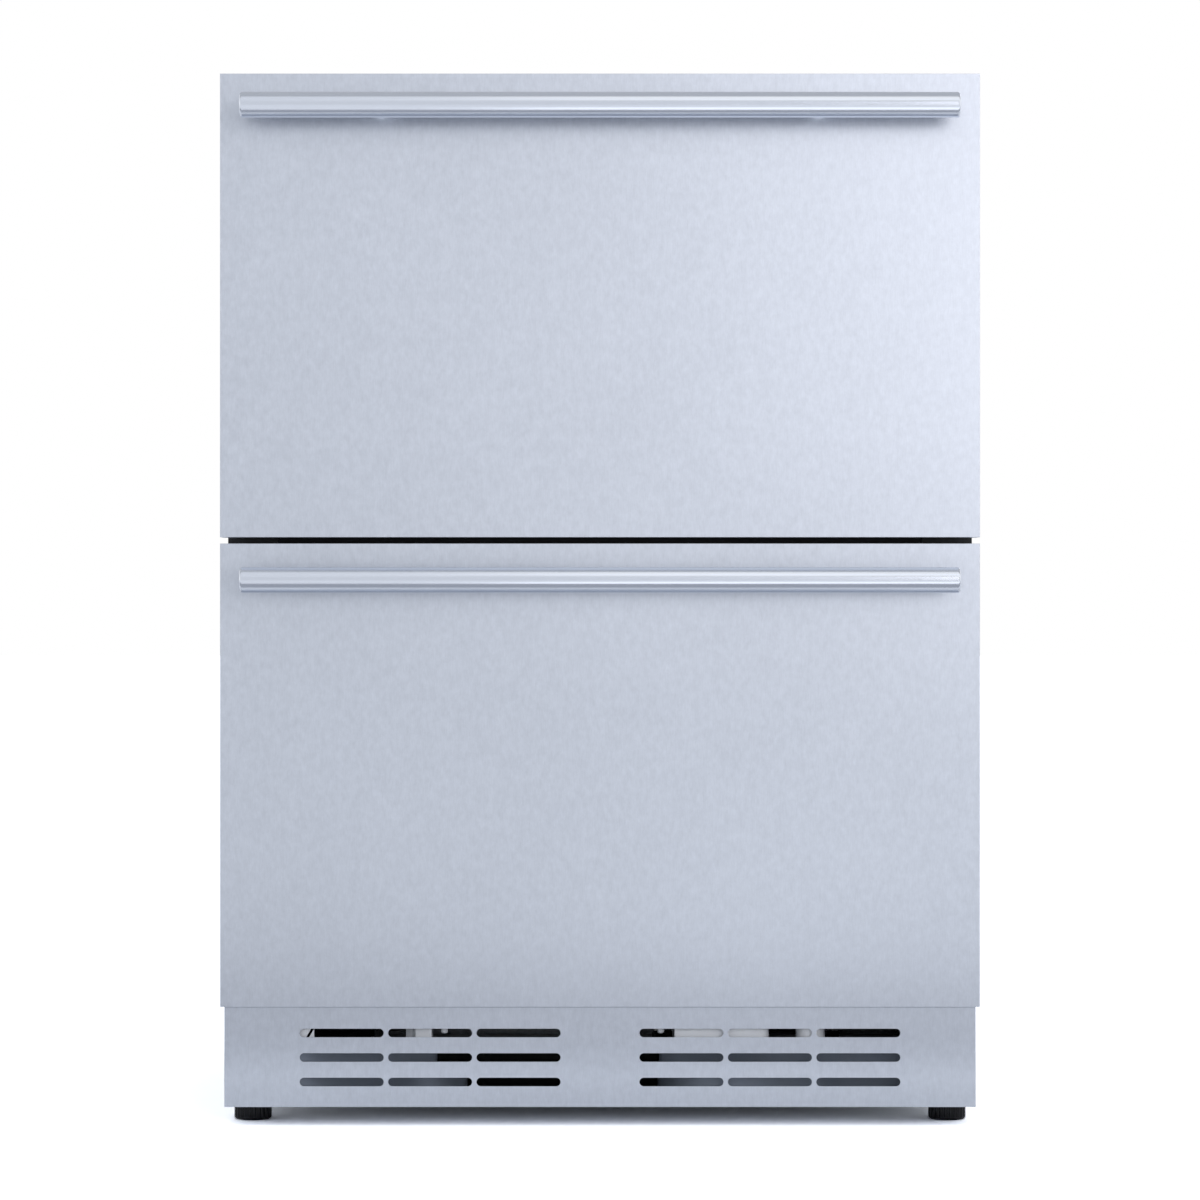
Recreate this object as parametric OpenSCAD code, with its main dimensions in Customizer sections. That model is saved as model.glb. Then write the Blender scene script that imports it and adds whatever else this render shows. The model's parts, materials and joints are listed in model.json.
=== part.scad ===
// Undercounter refrigerator with two full-extension drawers.
// Millimetres, +Z up, the drawers open towards -Y. The origin is on the floor, at the centre of the footprint.

/* [Drawer fronts] */
// Width of each drawer front
front_w = 600; // [570:1:640]
// Height of each drawer front
front_h = 366; // [350:1:390]
// Gap between the two drawer fronts
front_gap = 5; // [3:0.5:9]
// Depth of a drawer front, from its face to its inner panel
front_t = 40; // [34:1:50]
// Sheet thickness of the front's steel skin
skin_t = 1; // [0.6:0.1:1.5]
// Thickness of the plastic inner panel
panel_t = 2; // [1.5:0.5:3]
// Height of the plateau on the inner panel
plateau_h = 1.3; // [0.8:0.1:1.8]
// Space for the gasket between the inner panel and the cabinet
seal_space = 8; // [7:0.5:12]
// Width of the gasket
gasket_w = 16; // [12:0.5:17]
// Distance from the edge of a front to its gasket
gasket_inset = 12; // [8:0.5:13]

/* [Handles] */
// Diameter of the handle bar
bar_d = 20; // [16:0.5:24]
// Distance from the side of a front to the end of its bar
bar_inset = 19; // [10:1:60]
// Distance from the top edge of a front to the axis of its bar
bar_drop = 29; // [22:0.5:60]
// Distance from the face of a front to the axis of its bar
bar_reach = 41; // [34:0.5:60]
// Chamfer at the ends of the bar
bar_chamfer = 1; // [0.5:0.25:2]
// Diameter of a handle post
post_d = 14; // [11:0.5:15]
// Distance from the end of the bar to the axis of a post
post_inset = 108; // [40:1:150]

/* [Cabinet] */
// How far each side of the cabinet lies inside the edge of the fronts
cab_inset = 2.5; // [0.5:0.5:6]
// How far the top of the cabinet lies below the top of the fronts
cab_top_drop = 8; // [6:0.5:14]
// Height of the lower front's bottom edge above the floor
plinth_h = 95; // [90:1:110]
// Thickness of the outer steel sheets
shell_t = 0.8; // [0.6:0.1:1.5]
// Thickness of the liner
liner_t = 1.5; // [1:0.1:3]
// Thickness of the front frame
frame_t = 1.5; // [1:0.1:3]
// Thickness of the insulated side walls
side_wall = 40; // [34:1:44]
// Thickness of the insulated top
top_wall = 40; // [32:1:50]
// Thickness of the insulated back wall
back_wall = 42; // [35:1:50]
// How far the back lies inside the rear edge of the outer shell
rear_inset = 3; // [2.5:0.5:8]
// Thickness of the insulated floor
floor_wall = 35; // [30:1:42]
// Height of the frame that shows behind the bottom edge of the upper front
land_bottom = 35; // [30:1:42]
// Height of the frame that shows behind the top edge of the lower front
land_top = 30; // [29:1:42]
// Depth of the mullion between the drawers
mullion_d = 35; // [20:1:50]
// Depth of the machine room at the back
machine_d = 190; // [185:1:196]
// Height of the machine room's ceiling above the floor
machine_h = 245; // [238:1:260]
// Thickness of the insulation over the machine room
hump_wall = 30; // [25:1:36]
// Thickness of the base pan
base_t = 1.5; // [1:0.1:2.5]
// Height of the base pan's side flanges
base_flange_h = 20; // [12:1:30]

/* [Kick plate] */
// Distance from the face of the fronts back to the kick plate
kick_setback = 10; // [4:1:30]
// Height of the kick plate's bottom edge above the floor
kick_bottom = 15; // [15:0.5:24]
// Sheet thickness of the kick plate
kick_t = 1.2; // [0.8:0.1:2]
// Gap between the kick plate and the lower front
kick_gap = 1; // [1:0.5:5]
// Length of a vent slot
slot_l = 66.5; // [40:0.5:67]
// Height of a vent slot
slot_h = 6.8; // [4:0.2:12]
// Number of slots side by side in a group
slot_cols = 3; // [1:1:3]
// Number of slots above each other
slot_rows = 3; // [1:1:3]
// Distance from slot to slot along a row
slot_pitch_x = 70; // [69:0.5:74]
// Distance from row to row
slot_pitch_z = 19.4; // [14:0.2:22]
// Distance from the middle of the plate to the middle of a slot group
slot_group_x = 134.5; // [112:0.5:160]
// Height of the middle row of slots above the floor
slot_row_z = 54.2; // [48:0.2:60]

/* [Slides] */
// Closed length, and travel, of the upper slides
upper_rail_l = 400; // [300:1:500]
// Closed length, and travel, of the lower slides
lower_rail_l = 300; // [250:1:400]
// Thickness of a closed slide
slide_t = 12.7; // [12.7:0.1:13.5]
// Height of a slide
slide_h = 45.8; // [44:0.2:50]
// Sheet thickness of the slide members
rail_t = 1.2; // [1:0.1:1.4]
// Diameter of the bearing balls
ball_d = 4; // [3.4:0.1:4.2]
// Clearance between a ball and its race
ball_gap = 0.1; // [0.05:0.01:0.2]
// Distance from ball to ball along a cage
ball_pitch = 24; // [12:1:40]
// Thickness of a ball cage's strap
cage_t = 0.8; // [0.5:0.1:1.2]
// Height of the slides' axis above the bottom of a drawer opening
rail_rise = 70; // [60:1:90]
// Distance from the cabinet's front to the slides
rail_setback = 7; // [4:1:14]

/* [Drawer boxes] */
// Depth of the upper bin
upper_bin_d = 400; // [300:1:500]
// Depth of the lower bin
lower_bin_d = 300; // [220:1:400]
// Least gap behind the upper slides and bin
upper_back_gap = 37; // [10:1:60]
// Least gap behind the lower slides and bin
lower_back_gap = 19; // [8:1:60]
// Height of the bins
bin_h = 190; // [140:1:220]
// Sheet thickness of the bins
bin_t = 1; // [0.8:0.1:2]
// Width of the rim turned in along a bin's top edge
bin_rim = 8; // [4:1:14]
// Clearance between a bin and the arms beside it
bin_gap = 0.5; // [0.3:0.1:1.5]
// Clearance under a drawer box
box_clear = 9; // [5:0.5:14]
// Distance from the inner panel back to the bin
bin_front_gap = 5; // [4.5:0.5:10]
// Sheet thickness of the drawer arms
arm_t = 1.5; // [1:0.1:2.5]
// Height of the drawer arms
arm_h = 105; // [96:1:130]
// Width of the arms' front and bottom flanges
arm_flange = 20; // [16:1:30]

/* [Cooling system] */
// Diameter of the compressor
comp_d = 150; // [120:1:156]
// Height of the compressor's housing
comp_h = 162; // [130:1:164]
// Distance from the cabinet's side to the compressor's axis
comp_inset = 167.5; // [150:0.5:200]
// Height of the rubber grommets under the compressor
grommet_h = 15; // [10:1:16]
// Diameter of the condenser fan
cond_fan_d = 160; // [120:1:164]
// Diameter of the evaporator fan
evap_fan_d = 100; // [70:1:110]
// Outer diameter of the coils' tubes
coil_tube_d = 8; // [6:0.5:9.5]
// Depth of the air duct in front of the liner's back
duct_d = 60; // [56:1:70]
// Diameter of the bore in the cord gland
gland_bore = 8.4; // [7:0.1:9]

/* [Feet] */
// Diameter of a foot
foot_d = 30; // [24:1:36]
// Height of a foot's ribbed body
foot_h = 14.5; // [10:0.1:14.6]
// Distance from the cabinet's side to a foot's axis
foot_inset = 19; // [17:0.5:40]
// Distance from the cabinet's front or back to a foot's axis
foot_setback = 14; // [13:0.5:60]
// Diameter of a foot's threaded stud
stud_d = 10; // [8:0.5:12]
// Length of a foot's stud
stud_l = 45; // [42:1:50]

/* [Hidden] */
$fn = 48;

seat = 0.3;         // gap between soft or moving pieces and what they close on
hole_gap = 0.1;     // radial clearance of a screw or shaft in its hole
lap = 0.5;          // how far a shape runs into the one it is joined to

// Depths, from front to back
upper_reach = max(rail_setback + upper_rail_l, bin_front_gap - seal_space + upper_bin_d);
lower_reach = max(rail_setback + lower_rail_l, bin_front_gap - seal_space + lower_bin_d);
cab_d = rear_inset + max(upper_reach + upper_back_gap + duct_d + back_wall,
    lower_reach + lower_back_gap + hump_wall + machine_d);
total_d = bar_reach + bar_d / 2 + front_t + seal_space + cab_d;
face_y = -total_d / 2 + bar_reach + bar_d / 2;
bar_y = face_y - bar_reach;
panel_y = face_y + front_t;
frame_y = panel_y + seal_space;
back_y = frame_y + cab_d;
rear_y = back_y - rear_inset;
in_back = rear_y - back_wall;
room_y = rear_y - machine_d;
in_hump_y = room_y - hump_wall;

// Heights, from the floor up
base_z = kick_bottom + kick_t;
base_top = base_z + base_t;
lower_z = plinth_h;
upper_z = lower_z + front_h + front_gap;
top_z = upper_z + front_h;
cab_top = top_z - cab_top_drop;
in_floor = plinth_h + floor_wall;
in_top = cab_top - top_wall;
in_hump_z = machine_h + hump_wall;
lower_open_top = lower_z + front_h - land_top;
upper_open = upper_z + land_bottom;
lower_open = in_floor;

// Widths, from the middle out
half_w = front_w / 2 - cab_inset;
sheet_x = half_w - shell_t;
in_x = half_w - side_wall;
arm_x = in_x - slide_t;
bin_x = arm_x - arm_t - bin_gap;
bar_half = front_w / 2 - bar_inset;
post_x = bar_half - post_inset;

// Slides: heights are halves, measured from the slide's axis
race_h = ball_d + 2 * ball_gap;
outer_half = slide_h / 2;
middle_half = outer_half - rail_t - race_h;
inner_half = middle_half - rail_t - race_h;
rail_y = frame_y + rail_setback;
rail_screw_end = 30;   // from the end of a rail to its screws
rail_screw_d = 4;
rail_head_t = 0.8;

// Drawers as [front's bottom, opening's bottom, slide length, bin depth]
upper = [upper_z, upper_open, upper_rail_l, upper_bin_d];
lower = [lower_z, lower_open, lower_rail_l, lower_bin_d];

// Fasteners
screw_d = 4;
screw_head_d = 8;
screw_head_t = 2.2;
bolt_d = 5;
bolt_head_d = 9;
bolt_head_t = 3;
bolt_l = 15;

// ---- Helpers ----

// A box from its lowest to its highest corner
module block(lo, hi) { translate(lo) cube(hi - lo); }

// A 2D profile of (y, z), drawn out from x0 to x1
module along_x(x0, x1) { translate([x0, 0, 0]) rotate([90, 0, 90]) linear_extrude(x1 - x0) children(); }

// A 2D profile of (x, z), drawn out from y0 to y1
module along_y(y0, y1) { translate([0, y1, 0]) rotate([90, 0, 0]) linear_extrude(y1 - y0) children(); }

// A cylinder from y0 to y1 with its axis through (x, z)
module rod_y(x, z, y0, y1, d) { translate([x, y1, z]) rotate([90, 0, 0]) cylinder(h = y1 - y0, d = d); }

// A cylinder from x0 to x1 with its axis through (y, z)
module rod_x(y, z, x0, x1, d) { translate([x0, y, z]) rotate([0, 90, 0]) cylinder(h = x1 - x0, d = d); }

// The children, and their mirror image on the other side
module both_sides() {
    children();
    mirror([1, 0, 0]) children();
}

module up_and_down() {
    children();
    mirror([0, 1]) children();
}

// A slot with round ends, cut through a sheet from y0 to y1
module slot_cut(x, z, l, h, y0, y1) {
    block([x - (l - h) / 2, y0, z - h / 2], [x + (l - h) / 2, y1, z + h / 2]);
    for (side = [-1, 1]) rod_y(x + side * (l - h) / 2, z, y0, y1, h);
}

// A rectangular ring of width w in the XZ plane, from y0 to y1
module ring(half, z0, z1, w, y0, y1) {
    difference() {
        block([-half, y0, z0], [half, y1, z1]);
        block([-half + w, y0 - 1, z0 + w], [half - w, y1 + 1, z1 - w]);
    }
}

// A pan-head screw along Y: the head's seat is at y, and the shank runs to y - l
module screw_y(x, z, y, l, d = screw_d, head_d = screw_head_d, head_t = screw_head_t) {
    rod_y(x, z, y - l, y + 0.01, d);
    rod_y(x, z, y, y + head_t, head_d);
}

// A vertical screw or bolt: the head's seat is at z, and the shank runs by l to the other side
module screw_z(x, y, z, l, d = screw_d, head_d = screw_head_d, head_t = screw_head_t) {
    up = l > 0 ? 1 : -1;
    translate([x, y, up > 0 ? z : z + l]) cylinder(h = abs(l), d = d);
    translate([x, y, up > 0 ? z - head_t : z]) cylinder(h = head_t, d = head_d);
}

function unit(v) = v / norm(v);

// A round pipe along points whose corners are square, with bends of radius r
module pipe(points, d, r) {
    last = len(points) - 1;
    for (i = [0 : last - 1]) {
        way = unit(points[i + 1] - points[i]);
        from = points[i] + (i > 0 ? r : 0) * way;
        to = points[i + 1] - (i < last - 1 ? r : 0) * way;
        side = unit(cross(way, abs(way[2]) > 0.5 ? [1, 0, 0] : [0, 0, 1]));
        other = cross(way, side);
        multmatrix([for (k = [0 : 2]) [side[k], other[k], way[k], from[k]]])
            cylinder(h = norm(to - from), d = d);
    }
    for (i = [1 : last - 1]) {
        u = unit(points[i] - points[i - 1]);
        v = unit(points[i + 1] - points[i]);
        centre = points[i] - r * u + r * v;
        n = cross(u, v);
        multmatrix([for (k = [0 : 2]) [-v[k], u[k], n[k], centre[k]]])
            rotate_extrude(angle = 90) translate([r, 0]) circle(d = d);
    }
}

// Fins across serpentines of tubes that run along X from 0 to l, cols deep in Y and rows high in Z.
// Two columns are joined at their lowest row.
module fin_coil(l, cols, rows, pitch, fins, fin_t, tube_d) {
    fin_pitch = l / fins;
    for (i = [0 : fins - 1])
        translate([(i + 0.5) * fin_pitch - fin_t / 2, 0, 0]) cube([fin_t, cols * pitch, rows * pitch]);
    for (c = [0 : cols - 1]) {
        y = (c + 0.5) * pitch;
        for (r = [0 : rows - 1]) rod_x(y, (r + 0.5) * pitch, -1, l + 1, tube_d);
        for (r = [0 : rows - 2]) {
            right = r % 2 == 0;
            translate([right ? l + 1 : -1, y, (r + 1) * pitch]) rotate([90, right ? 90 : -90, 0])
                rotate_extrude(angle = 180) translate([pitch / 2, 0]) circle(d = tube_d);
        }
    }
    if (cols > 1) translate([-1, pitch, pitch / 2]) rotate(90)
        rotate_extrude(angle = 180) translate([pitch / 2, 0]) circle(d = tube_d);
}

// A fan: a bored hub and pitched blades around Z, from z 0 to h
module fan(d, hub_d, h, bore, blades) {
    blade_t = 1.6;
    pitch_angle = 35;
    difference() {
        union() {
            cylinder(h = h, d = hub_d);
            intersection() {
                for (i = [0 : blades - 1]) rotate(i * 360 / blades)
                    translate([hub_d / 2 - 3, 0, h / 2]) rotate([pitch_angle, 0, 0])
                        translate([0, -d / 6, -blade_t / 2]) cube([d / 2, d / 3, blade_t]);
                cylinder(h = h, d = d);
            }
        }
        translate([0, 0, -1]) cylinder(h = h + 2, d = bore);
    }
}

// ---- Cabinet ----

// The inside of the liner, grown by g, from the plane y0 back. It steps over the machine room.
module cavity(g, y0) {
    block([-in_x - g, y0, in_hump_z - g], [in_x + g, in_back + g, in_top + g]);
    block([-in_x - g, y0, in_floor - g], [in_x + g, in_hump_y + g, in_top + g]);
}

// Where the drain and the two pipes pass through the insulation over the machine room
cover_inset = 12;      // from the liner's side to the cover of the air duct
trough_inset = 30.5;   // from the cover to the drain trough
cover_x = in_x - cover_inset;
trough_x = cover_x - trough_inset;
evap_l = 2 * trough_x - 70;
comp_x = half_w - comp_inset;
drain_x = comp_x;
drain_spout_d = 14;
suction_x = trough_x - 10;
suction_d = 9;
capillary_x = -evap_l / 2 - 10;
capillary_d = 3;
coil_pitch = 25;
evap_y = in_back - 12 - coil_pitch;
service_y = evap_y + coil_pitch / 2;

module service_cuts(gap) {
    for (p = [[drain_x, drain_spout_d], [suction_x, suction_d], [capillary_x, capillary_d]])
        translate([p[0], service_y, machine_h - 1]) cylinder(h = hump_wall + 2, d = p[1] + 2 * gap);
}

// The screws of every cabinet rail, as cuts of diameter d or, with heads, as the screws themselves
module rail_screws(d, heads = false) {
    shank = 9;
    for (drawer = [upper, lower], end = [rail_screw_end, drawer[2] - rail_screw_end]) both_sides() {
        rod_x(rail_y + end, drawer[1] + rail_rise, -in_x - shank, -in_x + rail_t, d);
        if (heads) rod_x(rail_y + end, drawer[1] + rail_rise, -in_x + rail_t, -in_x + rail_t + rail_head_t,
            screw_head_d);
    }
}

module outer_shell() {
    color("#1c1d1f") difference() {
        block([-half_w, frame_y, base_z], [half_w, back_y, cab_top]);
        block([-sheet_x, frame_y - 1, base_z - 1], [sheet_x, back_y + 1, cab_top - shell_t]);
        bracket_screws(screw_d + 2 * hole_gap, false);
    }
}

module back_panel() {
    color("#b8bcc0") block([-sheet_x, rear_y - shell_t, machine_h], [sheet_x, rear_y, cab_top - shell_t]);
}

step_flange = 24;

// The steel skin under the insulation: a floor, a riser and the machine room's ceiling with a flange at its back
module step_panel() {
    color("#b8bcc0") difference() {
        union() {
            block([-sheet_x, frame_y + frame_t, plinth_h], [sheet_x, room_y, plinth_h + shell_t]);
            block([-sheet_x, room_y - shell_t, plinth_h], [sheet_x, room_y, machine_h + shell_t]);
            block([-sheet_x, room_y - shell_t, machine_h], [sheet_x, rear_y - shell_t, machine_h + shell_t]);
            block([-sheet_x, rear_y - 2 * shell_t, machine_h - step_flange], [sheet_x, rear_y - shell_t, machine_h]);
        }
        service_cuts(seat);
        rear_screws(screw_d + 2 * hole_gap);
    }
}

module insulation() {
    color("#e8d9a8") difference() {
        block([-sheet_x, frame_y + frame_t, plinth_h + shell_t], [sheet_x, rear_y - shell_t, cab_top - shell_t]);
        block([-sheet_x - 1, room_y - shell_t, plinth_h], [sheet_x + 1, back_y, machine_h + shell_t]);
        cavity(liner_t, frame_y);
        service_cuts(seat);
        rail_screws(rail_screw_d + 2 * hole_gap);
        bracket_screws(screw_d + 2 * hole_gap, false);
    }
}

module liner() {
    color("#f2f3f2") difference() {
        cavity(liner_t, frame_y + frame_t);
        cavity(0, frame_y);
        service_cuts(seat);
        rail_screws(rail_screw_d + 2 * hole_gap);
    }
}

module front_frame() {
    color("#141516") difference() {
        block([-sheet_x, frame_y, plinth_h], [sheet_x, frame_y + frame_t, cab_top - shell_t]);
        block([-in_x, frame_y - 1, in_floor], [in_x, frame_y + frame_t + 1, in_top]);
    }
}

module mullion() {
    color("#141516") block([-in_x, frame_y, lower_open_top], [in_x, frame_y + mullion_d, upper_open]);
}

function foot_places() = [for (y = [frame_y + foot_setback, rear_y - foot_setback], x = [-1, 1])
    [x * (half_w - foot_inset), y]];

module base_pan() {
    stud_hole = stud_d + 1;
    color("#9fa4a8") difference() {
        union() {
            block([-sheet_x, frame_y, base_z], [sheet_x, rear_y - shell_t, base_top]);
            both_sides() block([-sheet_x, frame_y, base_z],
                [-sheet_x + base_t, rear_y - shell_t, base_z + base_flange_h]);
            block([-sheet_x, rear_y - shell_t - base_t, base_z], [sheet_x, rear_y - shell_t, base_z + base_flange_h]);
        }
        for (p = foot_places()) translate([p[0], p[1], base_z - 1]) cylinder(h = base_t + 2, d = stud_hole);
        kick_screws(screw_d + 2 * hole_gap);
        rear_screws(screw_d + 2 * hole_gap);
    }
}

// ---- Kick plate, rear grille and brackets ----

kick_y = face_y + kick_setback;
kick_top = plinth_h - kick_gap;
kick_tab_x = half_w - 97.5;    // half the length of the tab under the base pan
kick_tab_d = 18;               // how far the tab reaches under the base pan
kick_screw_x = half_w - 147.5;
kick_screw_l = 10;

module kick_screws(d, heads = false) {
    for (x = [-kick_screw_x, kick_screw_x])
        if (heads) screw_z(x, frame_y + kick_tab_d / 2, kick_bottom, kick_screw_l);
        else translate([x, frame_y + kick_tab_d / 2, kick_bottom - 1]) cylinder(h = kick_screw_l, d = d);
}

module kick_plate() {
    color("#c3c8d1") difference() {
        union() {
            difference() {
                block([-half_w, kick_y, kick_bottom], [half_w, frame_y, kick_top]);
                block([-half_w + kick_t, kick_y + kick_t, kick_bottom + kick_t],
                    [half_w - kick_t, frame_y + 1, kick_top - kick_t]);
            }
            block([-kick_tab_x, frame_y - 1, kick_bottom], [kick_tab_x, frame_y + kick_tab_d, kick_bottom + kick_t]);
        }
        for (group = [-1, 1], col = [0 : slot_cols - 1], row = [0 : slot_rows - 1])
            slot_cut(group * slot_group_x + (col - (slot_cols - 1) / 2) * slot_pitch_x,
                slot_row_z + (row - (slot_rows - 1) / 2) * slot_pitch_z,
                slot_l, slot_h, kick_y - 1, kick_y + kick_t + 1);
        kick_screws(screw_d + 2 * hole_gap);
    }
}

grille_slot_l = 120;
grille_slot_h = 7;
grille_pitch_x = 140;
grille_pitch_z = 22;
grille_cols = 3;
grille_rows = 7;
gland_x = -half_w + 42.5;
gland_z = base_z + 45;
gland_d = 16;

rear_screw_x = half_w - 52.5;
rear_screw_l = 8;
rear_screw_inset = 12;

module rear_screws(d, heads = false) {
    for (x = [-rear_screw_x, rear_screw_x], z = [base_z + rear_screw_inset, machine_h - rear_screw_inset]) {
        if (heads) screw_y(x, z, rear_y, rear_screw_l);
        else rod_y(x, z, rear_y - rear_screw_l - 1, rear_y + 1, d);
    }
}

module rear_grille() {
    color("#8d9296") difference() {
        block([-sheet_x, rear_y - shell_t, base_z], [sheet_x, rear_y, machine_h]);
        for (col = [0 : grille_cols - 1], row = [0 : grille_rows - 1])
            slot_cut((col - (grille_cols - 1) / 2) * grille_pitch_x + 15,
                (base_z + machine_h) / 2 + (row - (grille_rows - 1) / 2) * grille_pitch_z,
                grille_slot_l, grille_slot_h, rear_y - shell_t - 1, rear_y + 1);
        rear_screws(screw_d + 2 * hole_gap);
        rod_y(gland_x, gland_z, rear_y - shell_t - 1, rear_y + 1, gland_d);
    }
}

// A bush through the rear grille, with a collar on each side and a bore for the supply cord
module cord_gland() {
    collar_d = 23;
    inner_collar_t = 8;
    outer_collar_t = 2;
    color("#17181a") difference() {
        union() {
            rod_y(gland_x, gland_z, rear_y - shell_t - inner_collar_t, rear_y - shell_t, collar_d);
            rod_y(gland_x, gland_z, rear_y - shell_t - 1, rear_y + 1, gland_d);
            rod_y(gland_x, gland_z, rear_y, rear_y + outer_collar_t, collar_d);
        }
        rod_y(gland_x, gland_z, rear_y - 30, rear_y + 30, gland_bore);
    }
}

bracket_t = 1.5;
bracket_w = 60;
bracket_x = half_w - 77.5;    // middle of a bracket
bracket_leg = 20;       // length of its lower leg
bracket_tab = 22;       // length of its raised tab
bracket_hole_d = 5;
bracket_hole_pitch = 40;
bracket_hole_y = frame_y + 11;
bracket_riser_y = frame_y + bracket_tab;
bracket_screw_x = 15;         // from a bracket's middle
bracket_screw_l = 9;

module bracket_screws(d, heads = false) {
    for (side = [-1, 1], dx = [-bracket_screw_x, bracket_screw_x]) {
        x = side * bracket_x + dx;
        y = bracket_riser_y + bracket_leg / 2 + 1;
        if (heads) screw_z(x, y, cab_top + bracket_t, -bracket_screw_l);
        else translate([x, y, cab_top - bracket_screw_l]) cylinder(h = bracket_screw_l + 3, d = d);
    }
}

// Two raised tabs on the cabinet's top, for screws up into the worktop
module counter_brackets() {
    color("#a9adb1") difference() {
        for (side = [-1, 1]) along_x(side * bracket_x - bracket_w / 2, side * bracket_x + bracket_w / 2)
            polygon([[bracket_riser_y + bracket_leg, cab_top], [bracket_riser_y + bracket_leg, cab_top + bracket_t],
                [bracket_riser_y + bracket_t, cab_top + bracket_t], [bracket_riser_y + bracket_t, top_z],
                [frame_y + 1, top_z], [frame_y + 1, top_z - bracket_t],
                [bracket_riser_y, top_z - bracket_t], [bracket_riser_y, cab_top]]);
        for (side = [-1, 1], dx = [-1, 1])
            translate([side * bracket_x + dx * bracket_hole_pitch / 2, bracket_hole_y, top_z - bracket_t - 1])
                cylinder(h = bracket_t + 2, d = bracket_hole_d);
        bracket_screws(screw_d + 2 * hole_gap);
    }
}

foot_nut_h = 10;

// Screws, the compressor's studs and nuts, and the weld nuts of the feet
module cabinet_fasteners() {
    color("#b9bdc2") {
        rail_screws(rail_screw_d, true);
        kick_screws(screw_d, true);
        rear_screws(screw_d, true);
        bracket_screws(screw_d, true);
        for (p = foot_places()) translate([p[0], p[1], base_top]) difference() {
            cylinder(h = foot_nut_h, d = stud_d * 1.8, $fn = 6);
            translate([0, 0, -1]) cylinder(h = foot_nut_h + 2, d = stud_d + 2 * hole_gap);
        }
        for (p = comp_feet()) {
            translate([p[0], p[1], base_top])
                cylinder(h = comp_plate_z + comp_plate_t + comp_nut_h + 3 - base_top, d = comp_stud_d);
            translate([p[0], p[1], comp_plate_z + comp_plate_t]) cylinder(h = comp_nut_h, d = comp_nut_d, $fn = 6);
        }
    }
}

// ---- Machine room ----

comp_y = (room_y + rear_y) / 2;
comp_plate_z = base_top + grommet_h;
comp_plate_t = 3;
comp_stud_d = 6;
comp_nut_h = 5;
comp_nut_d = 10;
comp_foot_x = 70;
comp_foot_y = 55;
comp_plate_rim = 12;   // from a foot's stud to the edge of the foot plate
comp_top = comp_plate_z + comp_plate_t + comp_h;
port_l = 7;            // length of a pipe stub beside the compressor's can
suction_port_z = comp_plate_z + 118;
discharge_port_z = comp_plate_z + 70;
discharge_d = 6.5;

function comp_feet() = [for (x = [-1, 1], y = [-1, 1]) [comp_x + x * comp_foot_x, comp_y + y * comp_foot_y]];

// A hermetic compressor: a rounded can with a weld flange, on a foot plate, with its relay cover
module compressor() {
    edge_r = comp_d / 5;
    flange_h = 4;
    flange_rim = 4;
    relay = [34, 52, 60];
    relay_lap = 12;      // how far the relay's cover runs into the can
    color("#1b1c1e") difference() {
        union() {
            translate([comp_x, comp_y, comp_plate_z + comp_plate_t]) {
                rotate_extrude() {
                    square([comp_d / 2 - edge_r, comp_h]);
                    translate([0, edge_r]) square([comp_d / 2, comp_h - 2 * edge_r]);
                    for (z = [edge_r, comp_h - edge_r]) translate([comp_d / 2 - edge_r, z]) circle(edge_r);
                }
                translate([0, 0, comp_h * 0.55]) cylinder(h = flange_h, d = comp_d + 2 * flange_rim);
                translate([comp_d / 2 - relay_lap, -relay[1] / 2, comp_h * 0.18]) cube(relay);
            }
            rod_x(service_y, suction_port_z, comp_x, comp_x + comp_d / 2 + port_l, suction_d);
            rod_x(comp_y, discharge_port_z, comp_x - comp_d / 2 - port_l, comp_x, discharge_d);
            block([comp_x - comp_foot_x - comp_plate_rim, comp_y - comp_foot_y - comp_plate_rim, comp_plate_z],
                [comp_x + comp_foot_x + comp_plate_rim, comp_y + comp_foot_y + comp_plate_rim,
                comp_plate_z + comp_plate_t]);
        }
        for (p = comp_feet()) translate([p[0], p[1], comp_plate_z - 1])
            cylinder(h = comp_plate_t + 2, d = comp_stud_d + 1);
    }
}

grommet_waist_d = 20;
grommet_foot_d = 26;
grommet_head_d = 24;

module compressor_grommets() {
    color("#202122") for (p = comp_feet()) translate([p[0], p[1], base_top]) difference() {
        union() {
            cylinder(h = grommet_h, d = grommet_waist_d);
            cylinder(h = grommet_h / 3, d = grommet_foot_d);
            translate([0, 0, grommet_h * 2 / 3]) cylinder(h = grommet_h / 3, d = grommet_head_d);
        }
        translate([0, 0, -1]) cylinder(h = grommet_h + 2, d = comp_stud_d + 2 * seat);
    }
}

cond_cols = 2;
cond_rows = 7;
cond_l = machine_d - shell_t - 50;
cond_x = -half_w + foot_inset + 22;
cond_y = room_y + 25;
cond_z = base_top + 8;
cond_h = cond_rows * coil_pitch;
shroud_x = cond_x + cond_cols * coil_pitch + 8;
shroud_t = 1.5;
fan_y = (room_y + rear_y) / 2;
fan_z = cond_z + cond_h / 2 + 2;
cond_fan_h = 22;
cond_end_t = 2;         // its end plates
cond_end_rim = 4;       // how far they stand out past the fins
motor_d = 58;
motor_l = 40;
shaft_d = 5;
blade_x = shroud_x + shroud_t + 4;

// The condenser's tubes run front to back, between two end plates that stand on the base pan
module condenser() {
    color("#3a3c3f") {
        translate([cond_x + cond_cols * coil_pitch, cond_y, cond_z]) rotate(90)
            fin_coil(cond_l, cond_cols, cond_rows, coil_pitch, 20, 0.8, coil_tube_d);
        for (y = [cond_y - lap, cond_y + cond_l + lap - cond_end_t])
            block([cond_x - cond_end_rim, y, base_top], [cond_x + cond_cols * coil_pitch + cond_end_rim,
                y + cond_end_t, cond_z + cond_h + cond_end_rim]);
    }
}

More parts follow.
